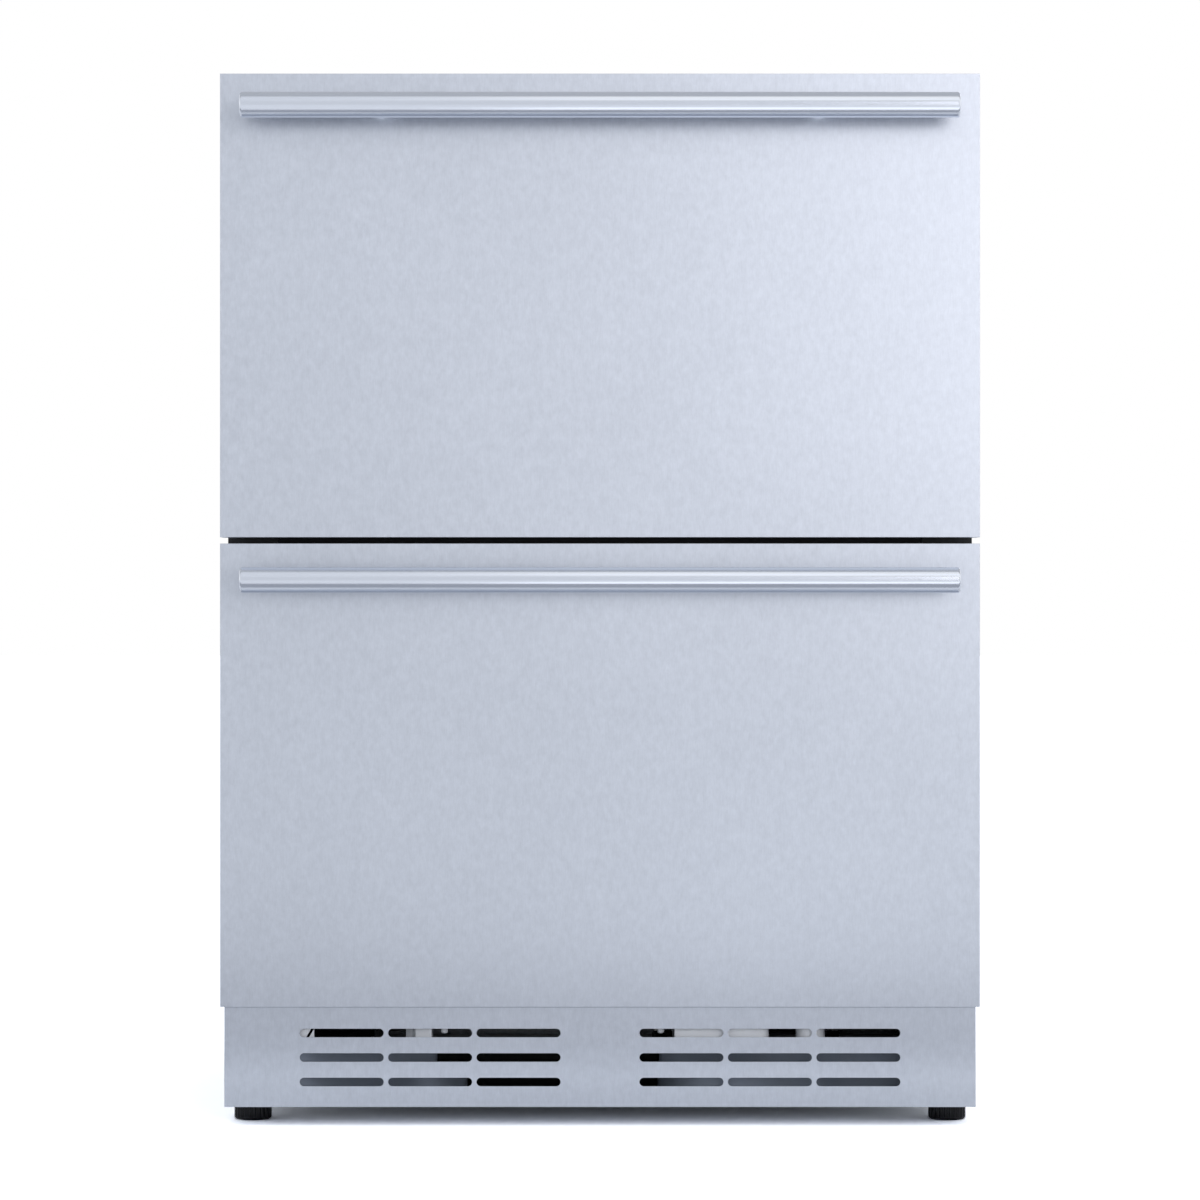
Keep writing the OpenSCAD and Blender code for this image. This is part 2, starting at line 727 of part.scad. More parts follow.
// A plate with the fan's ring, and three arms that hold the motor
module fan_shroud() {
    ring_d = cond_fan_d + 8;
    end = shroud_x + cond_fan_h + 8;
    arm_w = 12;
    hub_d = 40;
    color("#55595d") {
        difference() {
            union() {
                block([shroud_x, room_y + 4, base_top], [shroud_x + shroud_t, rear_y - shell_t - 3, machine_h - 6]);
                rod_x(fan_y, fan_z, shroud_x, end + 1, ring_d + 4);
            }
            rod_x(fan_y, fan_z, shroud_x - 1, end + 2, ring_d);
            for (z = [line_z, liquid_z]) rod_x(line_y, z, shroud_x - 1, shroud_x + shroud_t + 1, discharge_d + 2);
        }
        difference() {
            union() {
                for (a = [90, 210, 330]) translate([end - 2, fan_y, fan_z]) rotate([a, 0, 0])
                    translate([0, -arm_w / 2, 0]) cube([2, arm_w, ring_d / 2 + 1]);
                rod_x(fan_y, fan_z, end - 2, end, hub_d);
            }
            rod_x(fan_y, fan_z, end - 3, end + 1, 12);
        }
    }
}

module condenser_motor() {
    start = shroud_x + cond_fan_h + 8;
    color("#8f9499") {
        rod_x(fan_y, fan_z, start, start + motor_l, motor_d);
        rod_x(fan_y, fan_z, start + motor_l, start + motor_l + 5, motor_d * 0.5);
        rod_x(fan_y, fan_z, blade_x + 2, start + 1, shaft_d);
    }
}

module condenser_fan() {
    color("#2a2c2e") translate([blade_x, fan_y, fan_z]) rotate([0, 90, 0])
        fan(cond_fan_d, 42, cond_fan_h - 4, shaft_d + 2 * hole_gap, 5);
}

pan_w = 190;
pan_depth = 150;
pan_h = 24;
pan_wall = 2;

// An open tray on the compressor, from which the defrost water dries off
module drain_pan() {
    z = comp_top + seat;
    color("#dfe2e4") difference() {
        block([comp_x - pan_w / 2, comp_y - pan_depth / 2, z],
            [comp_x + pan_w / 2, comp_y + pan_depth / 2, z + pan_h]);
        block([comp_x - pan_w / 2 + pan_wall, comp_y - pan_depth / 2 + pan_wall, z + pan_wall],
            [comp_x + pan_w / 2 - pan_wall, comp_y + pan_depth / 2 - pan_wall, z + pan_h + 1]);
    }
}

drier_d = 18;
drier_l = 90;
bend_r = 12;
drop_x = comp_x - comp_d / 2 - 35;
turn_x = drop_x - 15;          // where the capillary turns back
drier_x = turn_x - 25 - drier_l;
line_y = cond_y + cond_l + 1 + bend_r;
line_z = cond_z + (cond_rows - 0.5) * coil_pitch;
liquid_z = line_z + 2 * bend_r + 3;

// Suction line, discharge line, liquid line with its filter drier, and capillary tube
module refrigerant_pipes() {
    high = machine_h - 16;
    side_x = comp_x + comp_d / 2 + 38;      // beside the relay's cover
    step_y = line_y - 2 * bend_r;
    coil_x = cond_x + 0.5 * coil_pitch;
    coil_end = line_y - bend_r;
    color("#b87648") {
        pipe([[evap_l / 2 + 1, service_y, evap_z + (evap_rows - 0.5) * coil_pitch],
            [suction_x, service_y, evap_z + (evap_rows - 0.5) * coil_pitch],
            [suction_x, service_y, high], [side_x, service_y, high], [side_x, service_y, suction_port_z],
            [comp_x + comp_d / 2 + port_l, service_y, suction_port_z]], suction_d, bend_r);
        pipe([[coil_x + coil_pitch, coil_end, line_z], [coil_x + coil_pitch, line_y, line_z],
            [drop_x, line_y, line_z], [drop_x, comp_y, line_z], [drop_x, comp_y, discharge_port_z],
            [comp_x - comp_d / 2 - port_l, comp_y, discharge_port_z]], discharge_d, bend_r);
        pipe([[coil_x, coil_end, line_z], [coil_x, line_y, line_z], [coil_x, line_y, liquid_z],
            [drier_x, line_y, liquid_z]], discharge_d, bend_r);
        rod_x(line_y, liquid_z, drier_x, drier_x + drier_l, drier_d);
        pipe([[drier_x + drier_l, line_y, liquid_z], [turn_x, line_y, liquid_z],
            [turn_x, step_y, liquid_z], [turn_x, step_y, high],
            [capillary_x, step_y, high], [capillary_x, service_y, high],
            [capillary_x, service_y, evap_z + coil_pitch / 2],
            [-evap_l / 2 - 1, service_y, evap_z + coil_pitch / 2]], capillary_d, 6);
    }
}

// ---- Evaporator and air duct ----

duct_y = in_back - duct_d;
cover_t = 2;
cover_z0 = in_hump_z + 8;
cover_z1 = in_top - 4;
cover_slot_l = 66;
cover_slot_h = 6;
cover_slot_pitch = 84;
cover_slots_low = [24, 38];        // up from the cover's bottom
cover_slots_high = [58, 44, 30];   // down from the cover's top
trough_z = in_hump_z;
trough_h = 20;
evap_rows = 7;
evap_plate_t = 2;
evap_z = trough_z + trough_h + 12;
evap_fan_z = in_top - 100;
evap_motor_d = 40;
evap_motor_l = 22;
evap_fan_h = 14;
evap_blade_y = duct_y + cover_t + evap_motor_l + 4;

module evaporator() {
    color("#c9cdd0") {
        translate([-evap_l / 2, evap_y, evap_z]) fin_coil(evap_l, 1, evap_rows, coil_pitch, 28, 0.8, coil_tube_d);
        for (x = [-evap_l / 2, evap_l / 2 - evap_plate_t])
            block([x, evap_y, evap_z], [x + evap_plate_t, in_back, evap_z + evap_rows * coil_pitch]);
    }
}

// A white cover over the evaporator: air goes in through the low slots and out through the high ones
module evaporator_cover() {
    heights = [for (up = cover_slots_low) cover_z0 + up, for (down = cover_slots_high) cover_z1 - down];
    color("#eef0ef") difference() {
        block([-cover_x, duct_y, cover_z0], [cover_x, in_back, cover_z1]);
        block([-cover_x + cover_t, duct_y + cover_t, cover_z0 - 1],
            [cover_x - cover_t, in_back + 1, cover_z1 - cover_t]);
        for (x = [-2 : 2], z = heights)
            slot_cut(x * cover_slot_pitch, z, cover_slot_l, cover_slot_h, duct_y - 1, duct_y + cover_t + 1);
    }
}

module evaporator_motor() {
    color("#8f9499") {
        rod_y(0, evap_fan_z, duct_y + cover_t, duct_y + cover_t + evap_motor_l, evap_motor_d);
        rod_y(0, evap_fan_z, duct_y + cover_t + evap_motor_l - 1, evap_blade_y + evap_fan_h - 2, shaft_d);
    }
}

module evaporator_fan() {
    color("#d8dbdd") translate([0, evap_blade_y + evap_fan_h, evap_fan_z]) rotate([90, 0, 0])
        fan(evap_fan_d, 28, evap_fan_h, shaft_d + 2 * hole_gap, 5);
}

// The trough under the evaporator, with the spout that drains it into the pan
module drain_trough() {
    wall = 2;
    spout_l = trough_z - comp_top - 12;
    color("#e3e6e8") difference() {
        union() {
            block([-trough_x, evap_y - 8, trough_z], [trough_x, in_back - seat, trough_z + trough_h]);
            translate([drain_x, service_y, trough_z - spout_l]) cylinder(h = spout_l + 1, d = drain_spout_d);
        }
        block([-trough_x + wall, evap_y - 8 + wall, trough_z + wall], [trough_x - wall, in_back - seat - wall,
            trough_z + trough_h + 1]);
        translate([drain_x, service_y, trough_z - spout_l - 1]) cylinder(h = spout_l + 10, d = drain_spout_d - 3);
        for (p = [[suction_x, suction_d], [capillary_x, capillary_d]])
            translate([p[0], service_y, trough_z - 1]) cylinder(h = wall + 2, d = p[1] + 2 * seat);
    }
}

// ---- Electrics ----

box_left = 59;          // from the middle to the box
box_w = 75;
box_h = 34;
box_d = 110;
box_kick_gap = 4;
box_lip_drop = 5;       // how far its front part stays below the insulated floor

// The mains box hangs under the insulated floor. Its front part reaches the slots of the kick plate.
module electrics_box() {
    color("#e6e8ea") {
        block([box_left, frame_y + frame_t, plinth_h - box_h], [box_left + box_w, frame_y + box_d, plinth_h]);
        block([box_left, kick_y + kick_t + box_kick_gap, plinth_h - box_h],
            [box_left + box_w, frame_y + frame_t + 1, plinth_h - box_lip_drop]);
    }
}

control_w = 170;
control_h = 24;
control_lip = 7;
control_slope = 26;
control_d = 74;
control_setback = 12;

// A touch panel under the liner's ceiling, with a sloped front
module control_housing() {
    front = frame_y + control_setback;
    color("#202224") along_x(-control_w / 2, control_w / 2)
        polygon([[front, in_top], [front, in_top - control_lip], [front + control_slope, in_top - control_h],
            [front + control_d - 10, in_top - control_h], [front + control_d, in_top]]);
}

lens_w = 240;
lens_d = 24;
lens_h = 6;
lens_setback = 125;

module lamp_lens() {
    y = frame_y + lens_setback;
    color("#f7f8f6") along_x(-lens_w / 2, lens_w / 2)
        polygon([[y, in_top], [y + lens_h / 2, in_top - lens_h], [y + lens_d - lens_h / 2, in_top - lens_h],
            [y + lens_d, in_top]]);
}

// ---- Slides: profiles of (distance from the cabinet wall, height from the slide's axis) ----

outer_flange = 11.5;
outer_lip = 3.6;
middle_web = 2.4;
middle_flange = 10.1;
middle_lip = 3;
inner_back = 5;
ball_u = 6;

module outer_profile() {
    up_and_down() {
        square([rail_t, outer_half]);
        translate([0, outer_half - rail_t]) square([outer_flange, rail_t]);
        translate([outer_flange - rail_t, outer_half - outer_lip]) square([rail_t, outer_lip]);
    }
}

module middle_profile() {
    up_and_down() {
        translate([middle_web, 0]) square([rail_t, middle_half]);
        translate([middle_web, middle_half - rail_t]) square([middle_flange - middle_web, rail_t]);
        translate([middle_flange - rail_t, middle_half - rail_t - middle_lip]) square([rail_t, middle_lip + rail_t]);
    }
}

module inner_profile() {
    up_and_down() {
        translate([slide_t - rail_t, 0]) square([rail_t, inner_half]);
        translate([inner_back, inner_half - rail_t]) square([slide_t - inner_back, rail_t]);
    }
}

// A pair of slide members with the child profile, for one drawer
module rail_pair(drawer) {
    both_sides() translate([-in_x, 0, drawer[1] + rail_rise]) along_y(rail_y, rail_y + drawer[2]) children();
}

// The cages of one drawer whose balls run under a race of the given half height
module cage_set(drawer, race_half, strap_w) {
    l = drawer[2] / 2 - 4;
    z = race_half - ball_gap - ball_d / 2;
    count = floor((l - ball_d) / ball_pitch) + 1;
    start = rail_y + drawer[2] / 4 + 2;
    first = start + (l - (count - 1) * ball_pitch) / 2;
    both_sides() for (s = [-1, 1]) translate([-in_x + ball_u, 0, drawer[1] + rail_rise + s * z]) {
        block([-strap_w / 2, start, -cage_t / 2], [strap_w / 2, start + l, cage_t / 2]);
        for (i = [0 : count - 1]) translate([0, first + i * ball_pitch, 0]) sphere(d = ball_d);
    }
}

module outer_rails() {
    color("#aeb3b8") difference() {
        for (drawer = [upper, lower]) rail_pair(drawer) outer_profile();
        rail_screws(rail_screw_d + 2 * hole_gap);
    }
}

module middle_rails(drawer) { color("#b6bbc0") rail_pair(drawer) middle_profile(); }
module inner_rails(drawer) { color("#bec3c8") rail_pair(drawer) inner_profile(); }
module outer_cages(drawer) { color("#8c9197") cage_set(drawer, outer_half - rail_t, 6); }
module inner_cages(drawer) { color("#8c9197") cage_set(drawer, middle_half - rail_t, 4); }

// ---- Drawers ----

post_bore_l = bolt_l + 3;

function arm_screw_z(drawer) = [for (dz = [0.3, 0.8]) drawer[1] + box_clear + dz * arm_h];
arm_screw_x = arm_x - arm_t - arm_flange / 2;
arm_screw_l = 12;

module arm_screws(drawer, d, heads = false) {
    for (x = [-arm_screw_x, arm_screw_x], z = arm_screw_z(drawer)) {
        if (heads) screw_y(x, z, panel_y + arm_t, arm_screw_l);
        else rod_y(x, z, panel_y + arm_t - arm_screw_l, panel_y + arm_t + 1, d);
    }
}

module handle_bolts(drawer, d, heads = false) {
    for (x = [-post_x, post_x]) {
        z = drawer[0] + front_h - bar_drop;
        if (heads) screw_y(x, z, face_y + skin_t, bolt_l, bolt_d, bolt_head_d, bolt_head_t);
        else rod_y(x, z, face_y - post_bore_l, face_y + skin_t + lap, d);
    }
}

module front_skin(drawer) {
    half = front_w / 2;
    color("#c5cad4") difference() {
        block([-half, face_y, drawer[0]], [half, panel_y - panel_t, drawer[0] + front_h]);
        block([-half + skin_t, face_y + skin_t, drawer[0] + skin_t],
            [half - skin_t, panel_y, drawer[0] + front_h - skin_t]);
        handle_bolts(drawer, bolt_d + 2 * hole_gap);
    }
}

module front_foam(drawer) {
    half = front_w / 2 - skin_t;
    color("#e8d9a8") difference() {
        block([-half, face_y + skin_t, drawer[0] + skin_t], [half, panel_y - panel_t, drawer[0] + front_h - skin_t]);
        for (x = [-post_x, post_x])
            rod_y(x, drawer[0] + front_h - bar_drop, face_y, face_y + skin_t + bolt_head_t + 1, bolt_head_d + 2);
        arm_screws(drawer, screw_d + 2 * hole_gap);
    }
}

module inner_panel(drawer) {
    edge = 1;
    plateau_inset = gasket_inset + gasket_w + 4;
    plateau_x = arm_x - arm_t - arm_flange - 3;
    color("#f2f3f2") difference() {
        union() {
            block([-front_w / 2 + edge, panel_y - panel_t, drawer[0] + edge],
                [front_w / 2 - edge, panel_y, drawer[0] + front_h - edge]);
            block([-plateau_x, panel_y - lap, drawer[0] + plateau_inset],
                [plateau_x, panel_y + plateau_h, drawer[0] + front_h - plateau_inset]);
        }
        arm_screws(drawer, screw_d + 2 * hole_gap);
    }
}

// A magnetic gasket: a foot, a narrow bellows and a magnet strip
module gasket(drawer) {
    half = front_w / 2 - gasket_inset;
    z0 = drawer[0] + gasket_inset;
    z1 = drawer[0] + front_h - gasket_inset;
    t = seal_space - seat;
    foot = t * 0.25;
    neck = t * 0.3;
    neck_in = gasket_w * 0.25;
    head_in = gasket_w * 0.06;
    color("#1a1b1c") {
        ring(half, z0, z1, gasket_w, panel_y, panel_y + foot);
        ring(half - neck_in, z0 + neck_in, z1 - neck_in, gasket_w - 2 * neck_in,
            panel_y + foot, panel_y + foot + neck);
        ring(half - head_in, z0 + head_in, z1 - head_in, gasket_w - 2 * head_in, panel_y + foot + neck, panel_y + t);
    }
}

module handle_bar(drawer) {
    z = drawer[0] + front_h - bar_drop;
    color("#d3d7de") translate([0, bar_y, z]) rotate([0, 90, 0]) {
        cylinder(h = 2 * (bar_half - bar_chamfer), d = bar_d, center = true);
        both_ends() translate([0, 0, bar_half - bar_chamfer])
            cylinder(h = bar_chamfer, d1 = bar_d, d2 = bar_d - 2 * bar_chamfer);
    }
}

module both_ends() {
    children();
    mirror([0, 0, 1]) children();
}

module handle_posts(drawer) {
    z = drawer[0] + front_h - bar_drop;
    color("#c9ced6") difference() {
        for (x = [-post_x, post_x]) rod_y(x, z, bar_y, face_y, post_d);
        rod_x(bar_y, z, -bar_half, bar_half, bar_d);
        handle_bolts(drawer, bolt_d + 2 * hole_gap);
    }
}

module drawer_screws(drawer) {
    color("#b9bdc2") {
        handle_bolts(drawer, bolt_d, true);
        arm_screws(drawer, screw_d, true);
    }
}

// The arms carry the bin on their bottom flanges, and hang on the slides' inner members
module drawer_arms(drawer) {
    z0 = drawer[1] + box_clear;
    arm_l = panel_y + bin_front_gap + drawer[3];
    color("#b3b8be") difference() {
        both_sides() {
            block([-arm_x, panel_y, z0], [-arm_x + arm_t, arm_l, z0 + arm_h]);
            block([-arm_x, panel_y, z0], [-arm_x + arm_t + arm_flange, arm_l, z0 + arm_t]);
            block([-arm_x, panel_y, z0], [-arm_x + arm_t + arm_flange, panel_y + arm_t, z0 + arm_h]);
        }
        arm_screws(drawer, screw_d + 2 * hole_gap);
    }
}

bin_slot_l = 46;
bin_slot_h = 7;
bin_slot_pitch_x = 62;
bin_slot_pitch_z = 22;

// A folded steel bin with a turned-in rim and air slots in its back
module bin(drawer) {
    y0 = panel_y + bin_front_gap;
    y1 = y0 + drawer[3];
    z0 = drawer[1] + box_clear + arm_t;
    z1 = z0 + bin_h;
    color("#ccd0d6") difference() {
        block([-bin_x, y0, z0], [bin_x, y1, z1]);
        block([-bin_x + bin_t, y0 + bin_t, z0 + bin_t], [bin_x - bin_t, y1 - bin_t, z1 - bin_t]);
        block([-bin_x + bin_rim, y0 + bin_rim, z0 + bin_t], [bin_x - bin_rim, y1 - bin_rim, z1 + 1]);
        for (col = [-3 : 3], row = [0 : 1])
            slot_cut(col * bin_slot_pitch_x, z0 + bin_h * 0.6 + row * bin_slot_pitch_z, bin_slot_l, bin_slot_h,
                y1 - bin_t - 1, y1 + 1);
    }
}

// ---- Feet ----

// A ribbed foot with its stud, screwed all the way in
module foot(i) {
    ribs = 24;
    p = foot_places()[i];
    color("#131415") translate([p[0], p[1], 0]) {
        difference() {
            union() {
                translate([0, 0, 1.5]) cylinder(h = foot_h - 1.5, d = foot_d);
                cylinder(h = 1.5, d1 = foot_d - 3, d2 = foot_d);
            }
            for (a = [0 : ribs - 1]) rotate(a * 360 / ribs) translate([foot_d / 2 + 0.4, 0, 2.5])
                cylinder(h = foot_h, d = 2.2);
        }
        translate([0, 0, foot_h - lap]) cylinder(h = stud_l + lap, d = stud_d);
    }
}

outer_shell();
back_panel();
step_panel();
insulation();
liner();
front_frame();
mullion();
base_pan();
kick_plate();
rear_grille();
counter_brackets();
cabinet_fasteners();
compressor();
compressor_grommets();
condenser();
fan_shroud();
condenser_motor();
condenser_fan();
drain_pan();
drain_trough();
refrigerant_pipes();
evaporator();
evaporator_cover();
evaporator_motor();
evaporator_fan();
electrics_box();
cord_gland();
control_housing();
lamp_lens();
outer_rails();
outer_cages(upper);  // upper_outer_cages
middle_rails(upper);  // upper_middle_rails
inner_cages(upper);  // upper_inner_cages
front_skin(upper);  // upper_front_skin
front_foam(upper);  // upper_front_foam
inner_panel(upper);  // upper_inner_panel
gasket(upper);  // upper_gasket
handle_bar(upper);  // upper_handle_bar
handle_posts(upper);  // upper_handle_posts
drawer_screws(upper);  // upper_drawer_screws
drawer_arms(upper);  // upper_drawer_arms
inner_rails(upper);  // upper_inner_rails
bin(upper);  // upper_bin
outer_cages(lower);  // lower_outer_cages
middle_rails(lower);  // lower_middle_rails
inner_cages(lower);  // lower_inner_cages
front_skin(lower);  // lower_front_skin
front_foam(lower);  // lower_front_foam
inner_panel(lower);  // lower_inner_panel
gasket(lower);  // lower_gasket
handle_bar(lower);  // lower_handle_bar
handle_posts(lower);  // lower_handle_posts
drawer_screws(lower);  // lower_drawer_screws
drawer_arms(lower);  // lower_drawer_arms
inner_rails(lower);  // lower_inner_rails
bin(lower);  // lower_bin
foot(0);  // foot_front_left
foot(1);  // foot_front_right
foot(2);  // foot_rear_left
foot(3);  // foot_rear_right
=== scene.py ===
import json
import math
import bmesh
import bpy
from mathutils import Matrix, Vector


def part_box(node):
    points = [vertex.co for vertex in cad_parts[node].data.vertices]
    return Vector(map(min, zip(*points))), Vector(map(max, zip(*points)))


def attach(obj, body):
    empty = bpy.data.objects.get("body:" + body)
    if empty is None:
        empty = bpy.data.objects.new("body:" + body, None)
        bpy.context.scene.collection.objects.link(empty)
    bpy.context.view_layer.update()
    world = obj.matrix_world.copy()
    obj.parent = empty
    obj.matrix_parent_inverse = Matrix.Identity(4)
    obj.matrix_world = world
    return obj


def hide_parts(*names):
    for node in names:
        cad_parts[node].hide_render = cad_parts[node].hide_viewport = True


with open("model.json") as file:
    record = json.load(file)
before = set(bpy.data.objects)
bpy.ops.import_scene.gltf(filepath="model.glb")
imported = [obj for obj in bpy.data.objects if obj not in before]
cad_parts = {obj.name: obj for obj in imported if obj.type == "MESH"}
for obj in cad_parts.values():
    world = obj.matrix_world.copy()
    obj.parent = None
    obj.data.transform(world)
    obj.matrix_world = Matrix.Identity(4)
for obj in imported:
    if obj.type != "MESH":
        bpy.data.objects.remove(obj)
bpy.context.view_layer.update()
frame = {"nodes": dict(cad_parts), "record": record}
mm = 0.001
record = frame["record"]
slotOf = {part["node"]: part["material_slot"] for part in record["subparts"]}
bodyOf = {node: body for body, members in record["behaviour"]["bodies"].items() for node in members}

# the camera stands straight in front of the drawers, at the height of the gap between them
photoCamera = {
    "distance": 3.6, "height": 0.4164, "lens": 136.8, "sensor": 36.0, "level": 90, "farthest": 200,
}
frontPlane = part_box("upper_front_skin")[0].y


def placeCamera(setup):
    data = bpy.data.cameras.new("photoCamera")
    data.lens = setup["lens"]
    data.sensor_width = setup["sensor"]
    data.clip_end = setup["farthest"]
    camera = bpy.data.objects.new("photoCamera", data)
    camera.location = (0, frontPlane - setup["distance"], setup["height"])
    camera.rotation_euler = (math.radians(setup["level"]), 0, 0)
    bpy.context.scene.collection.objects.link(camera)
    bpy.context.scene.camera = camera


placeCamera(photoCamera)


class Sock:
    # an output of a node; Python's operators on it add Math nodes
    def __init__(self, socket):
        self.socket = socket

    def maths(self, operation, *values):
        tree = self.socket.id_data
        node = tree.nodes.new("ShaderNodeMath")
        node.operation = operation
        for entry, value in zip(node.inputs, values):
            if isinstance(value, Sock):
                tree.links.new(value.socket, entry)
            else:
                entry.default_value = value
        return Sock(node.outputs[0])

    def __add__(self, other):
        return self.maths("ADD", self, other)

    def __radd__(self, other):
        return self.maths("ADD", other, self)

    def __sub__(self, other):
        return self.maths("SUBTRACT", self, other)

    def __rsub__(self, other):
        return self.maths("SUBTRACT", other, self)

    def __mul__(self, other):
        return self.maths("MULTIPLY", self, other)

    def __rmul__(self, other):
        return self.maths("MULTIPLY", other, self)

    def above(self, edge, softness):
        # 0 below the edge, 1 above it, with a soft step between
        ramp = (self - edge) * (1 / softness)
        return self.maths("MAXIMUM", self.maths("MINIMUM", ramp, 1.0), 0.0)

    def swing(self, reach):
        # a pattern between 0 and 1, made to swing about zero
        return (self - 0.5) * reach


class Nodes:
    # a node tree and the one method that fills it
    def __init__(self, tree):
        self.tree = tree

    def feed(self, entry, value):
        if isinstance(value, Sock):
            self.tree.links.new(value.socket, entry)
        else:
            entry.default_value = value

    def node(self, kind, settings=None, sockets=None, out=0):
        made = self.tree.nodes.new("ShaderNode" + kind)
        for key, value in (settings or {}).items():
            setattr(made, key, value)
        for key, value in (sockets or {}).items():
            self.feed(made.inputs[key], value)
        return Sock(made.outputs[out])


class Finish(Nodes):
    # a procedural material; what is the same all over sits on its shader's own sockets
    def __init__(self, name, steady):
        self.material = bpy.data.materials.new(name)
        self.material.use_nodes = True
        super().__init__(self.material.node_tree)
        self.shader = self.tree.nodes["Principled BSDF"]
        for key, value in steady.items():
            self.shader.inputs[key].default_value = value
        self.spot = self.node("TexCoord", out="Object")

    def noise(self, scale, detail=3.0, rough=0.55, shift=0.0):
        spread = {"Vector": self.spot, "Location": (shift,) * 3, "Scale": scale}
        where = self.node("Mapping", sockets=spread)
        layers = {"Vector": where, "Scale": 1.0, "Detail": detail, "Roughness": rough}
        return self.node("TexNoise", sockets=layers)

    def cells(self, size, out="Distance"):
        where = self.node("Mapping", sockets={"Vector": self.spot, "Scale": (size,) * 3})
        return self.node("TexVoronoi", sockets={"Vector": where, "Scale": 1.0}, out=out)

    def colour(self, mask, low, high):
        # low is a colour, or what an earlier call gave, to be tinted where the mask is
        under = low if isinstance(low, Sock) else (*low, 1)
        mixed = self.node("Mix", {"data_type": "RGBA"}, {0: mask, 6: under, 7: (*high, 1)}, 2)
        self.feed(self.shader.inputs["Base Color"], mixed)
        return mixed

    def rough(self, value):
        self.feed(self.shader.inputs["Roughness"], value)

    def bump(self, height, strength, relief):
        # the relief is in millimetres
        pressed = {"Height": height, "Strength": strength, "Distance": relief * mm}
        self.feed(self.shader.inputs["Normal"], self.node("Bump", sockets=pressed))


# beside each kind of finish: how much its patterns count in the tone, their sizes and their relief; for
# steel also how soft the edge of the painted shade on a bar's back half is, in millimetres
steelMix = {
    "grain": 0.32, "mottle": 0.53, "cloud": 0.15, "cloudSize": 5, "mottleGloss": 0.5, "paintedShadeEdge": 3,
    "grainRelief": 0.7, "mottleRelief": 0.3, "relief": 0.05,
}


def brushedSteel(name, look):
    # sheet or bar with fine grain one way, soft mottling, and slow clouds from the rolling; a bar can also
    # get painted shade on its back half
    finish = Finish(name, {"Metallic": look.get("metallic", 1.0), "Anisotropic": look.get("streak", 0.0)})
    grain = finish.noise(look["grain"], detail=3.0, rough=0.6)
    mottle = finish.noise(look["mottle"], detail=4.0, rough=0.65, shift=7.0)
    cloud = finish.noise((steelMix["cloudSize"],) * 3, detail=2.0, rough=0.5, shift=3.0)
    mask = grain * steelMix["grain"] + mottle * steelMix["mottle"] + cloud * steelMix["cloud"]
    toned = finish.colour(mask, look["low"], look["high"])
    # painted shade: the part of the bar behind the given depth, which faces the panel, is darkened so that
    # its reflection in the panel makes the shadow under the bar deeper
    if "paintedShadeBehind" in look:
        depth = finish.node("SeparateXYZ", sockets={"Vector": finish.spot}, out="Y")
        behind = depth.above(look["paintedShadeBehind"] * mm, steelMix["paintedShadeEdge"] * mm)
        finish.colour(behind, toned, look["dull"])
    gloss = look["rough"] + grain.swing(look["spread"])
    finish.rough(gloss + mottle.swing(steelMix["mottleGloss"]) * look["spread"])
    relief = grain * steelMix["grainRelief"] + mottle * steelMix["mottleRelief"]
    finish.bump(relief, look["bump"], steelMix["relief"])
    return finish.material


zincMix = {"flake": 0.7, "grain": 0.3, "grainSize": 900, "bump": 0.1, "relief": 0.05}


def zincSheet(name, look):
    # galvanised sheet: flat crystals of slightly different tone, with fine grain over them
    finish = Finish(name, {"Metallic": 1.0})
    flake = finish.cells(look["flake"], out="Color")
    shade = finish.node("SeparateColor", sockets={"Color": flake})
    grain = finish.noise((zincMix["grainSize"],) * 3, detail=2.0)
    finish.colour(shade * zincMix["flake"] + grain * zincMix["grain"], look["low"], look["high"])
    finish.rough(look["rough"] + shade.swing(look["spread"]))
    finish.bump(grain, zincMix["bump"], zincMix["relief"])
    return finish.material


paintMix = {"dustSize": 14, "dustFrom": 0.45, "dustEdge": 0.35, "relief": 0.1}


def paint(name, look):
    # powder coat or lacquer: even tone, fine orange peel, a trace of dust on a larger scale
    finish = Finish(name, {"Metallic": 0.0})
    peel = finish.noise((look["peel"],) * 3, detail=2.0, rough=0.5)
    dust = finish.noise((paintMix["dustSize"],) * 3, detail=5.0, rough=0.7, shift=2.0)
    finish.colour(dust.above(paintMix["dustFrom"], paintMix["dustEdge"]), look["low"], look["high"])
    finish.rough(look["rough"] + dust.swing(look["spread"]))
    finish.bump(peel, look["bump"], paintMix["relief"])
    return finish.material


mouldMix = {
    "flow": 0.6, "grain": 0.4, "flowSize": 9, "relief": 0.08,
    "index": 1.47, "milkDepth": 0.01, "milkScale": 0.1,
}


def moulded(name, look):
    # plastic or rubber: mould grain, faint flow clouds and slightly worn gloss
    finish = Finish(name, {
        "Metallic": 0.0, "IOR": mouldMix["index"], "Specular IOR Level": look.get("specular", 0.5),
        "Subsurface Weight": look.get("milky", 0.0), "Subsurface Radius": (mouldMix["milkDepth"],) * 3,
        "Subsurface Scale": mouldMix["milkScale"]})
    grain = finish.noise((look["grain"],) * 3, detail=2.0, rough=0.5)
    flow = finish.noise((mouldMix["flowSize"],) * 3, detail=3.0, rough=0.5, shift=4.0)
    finish.colour(flow * mouldMix["flow"] + grain * mouldMix["grain"], look["low"], look["high"])
    finish.rough(look["rough"] + flow.swing(look["spread"]) + grain.swing(look["spread"]))
    finish.bump(grain, look["bump"], mouldMix["relief"])
    return finish.material


foamMix = {"cell": 0.6, "cellFrom": 0.2, "cellEdge": 0.5, "flow": 0.4, "flowSize": 20}


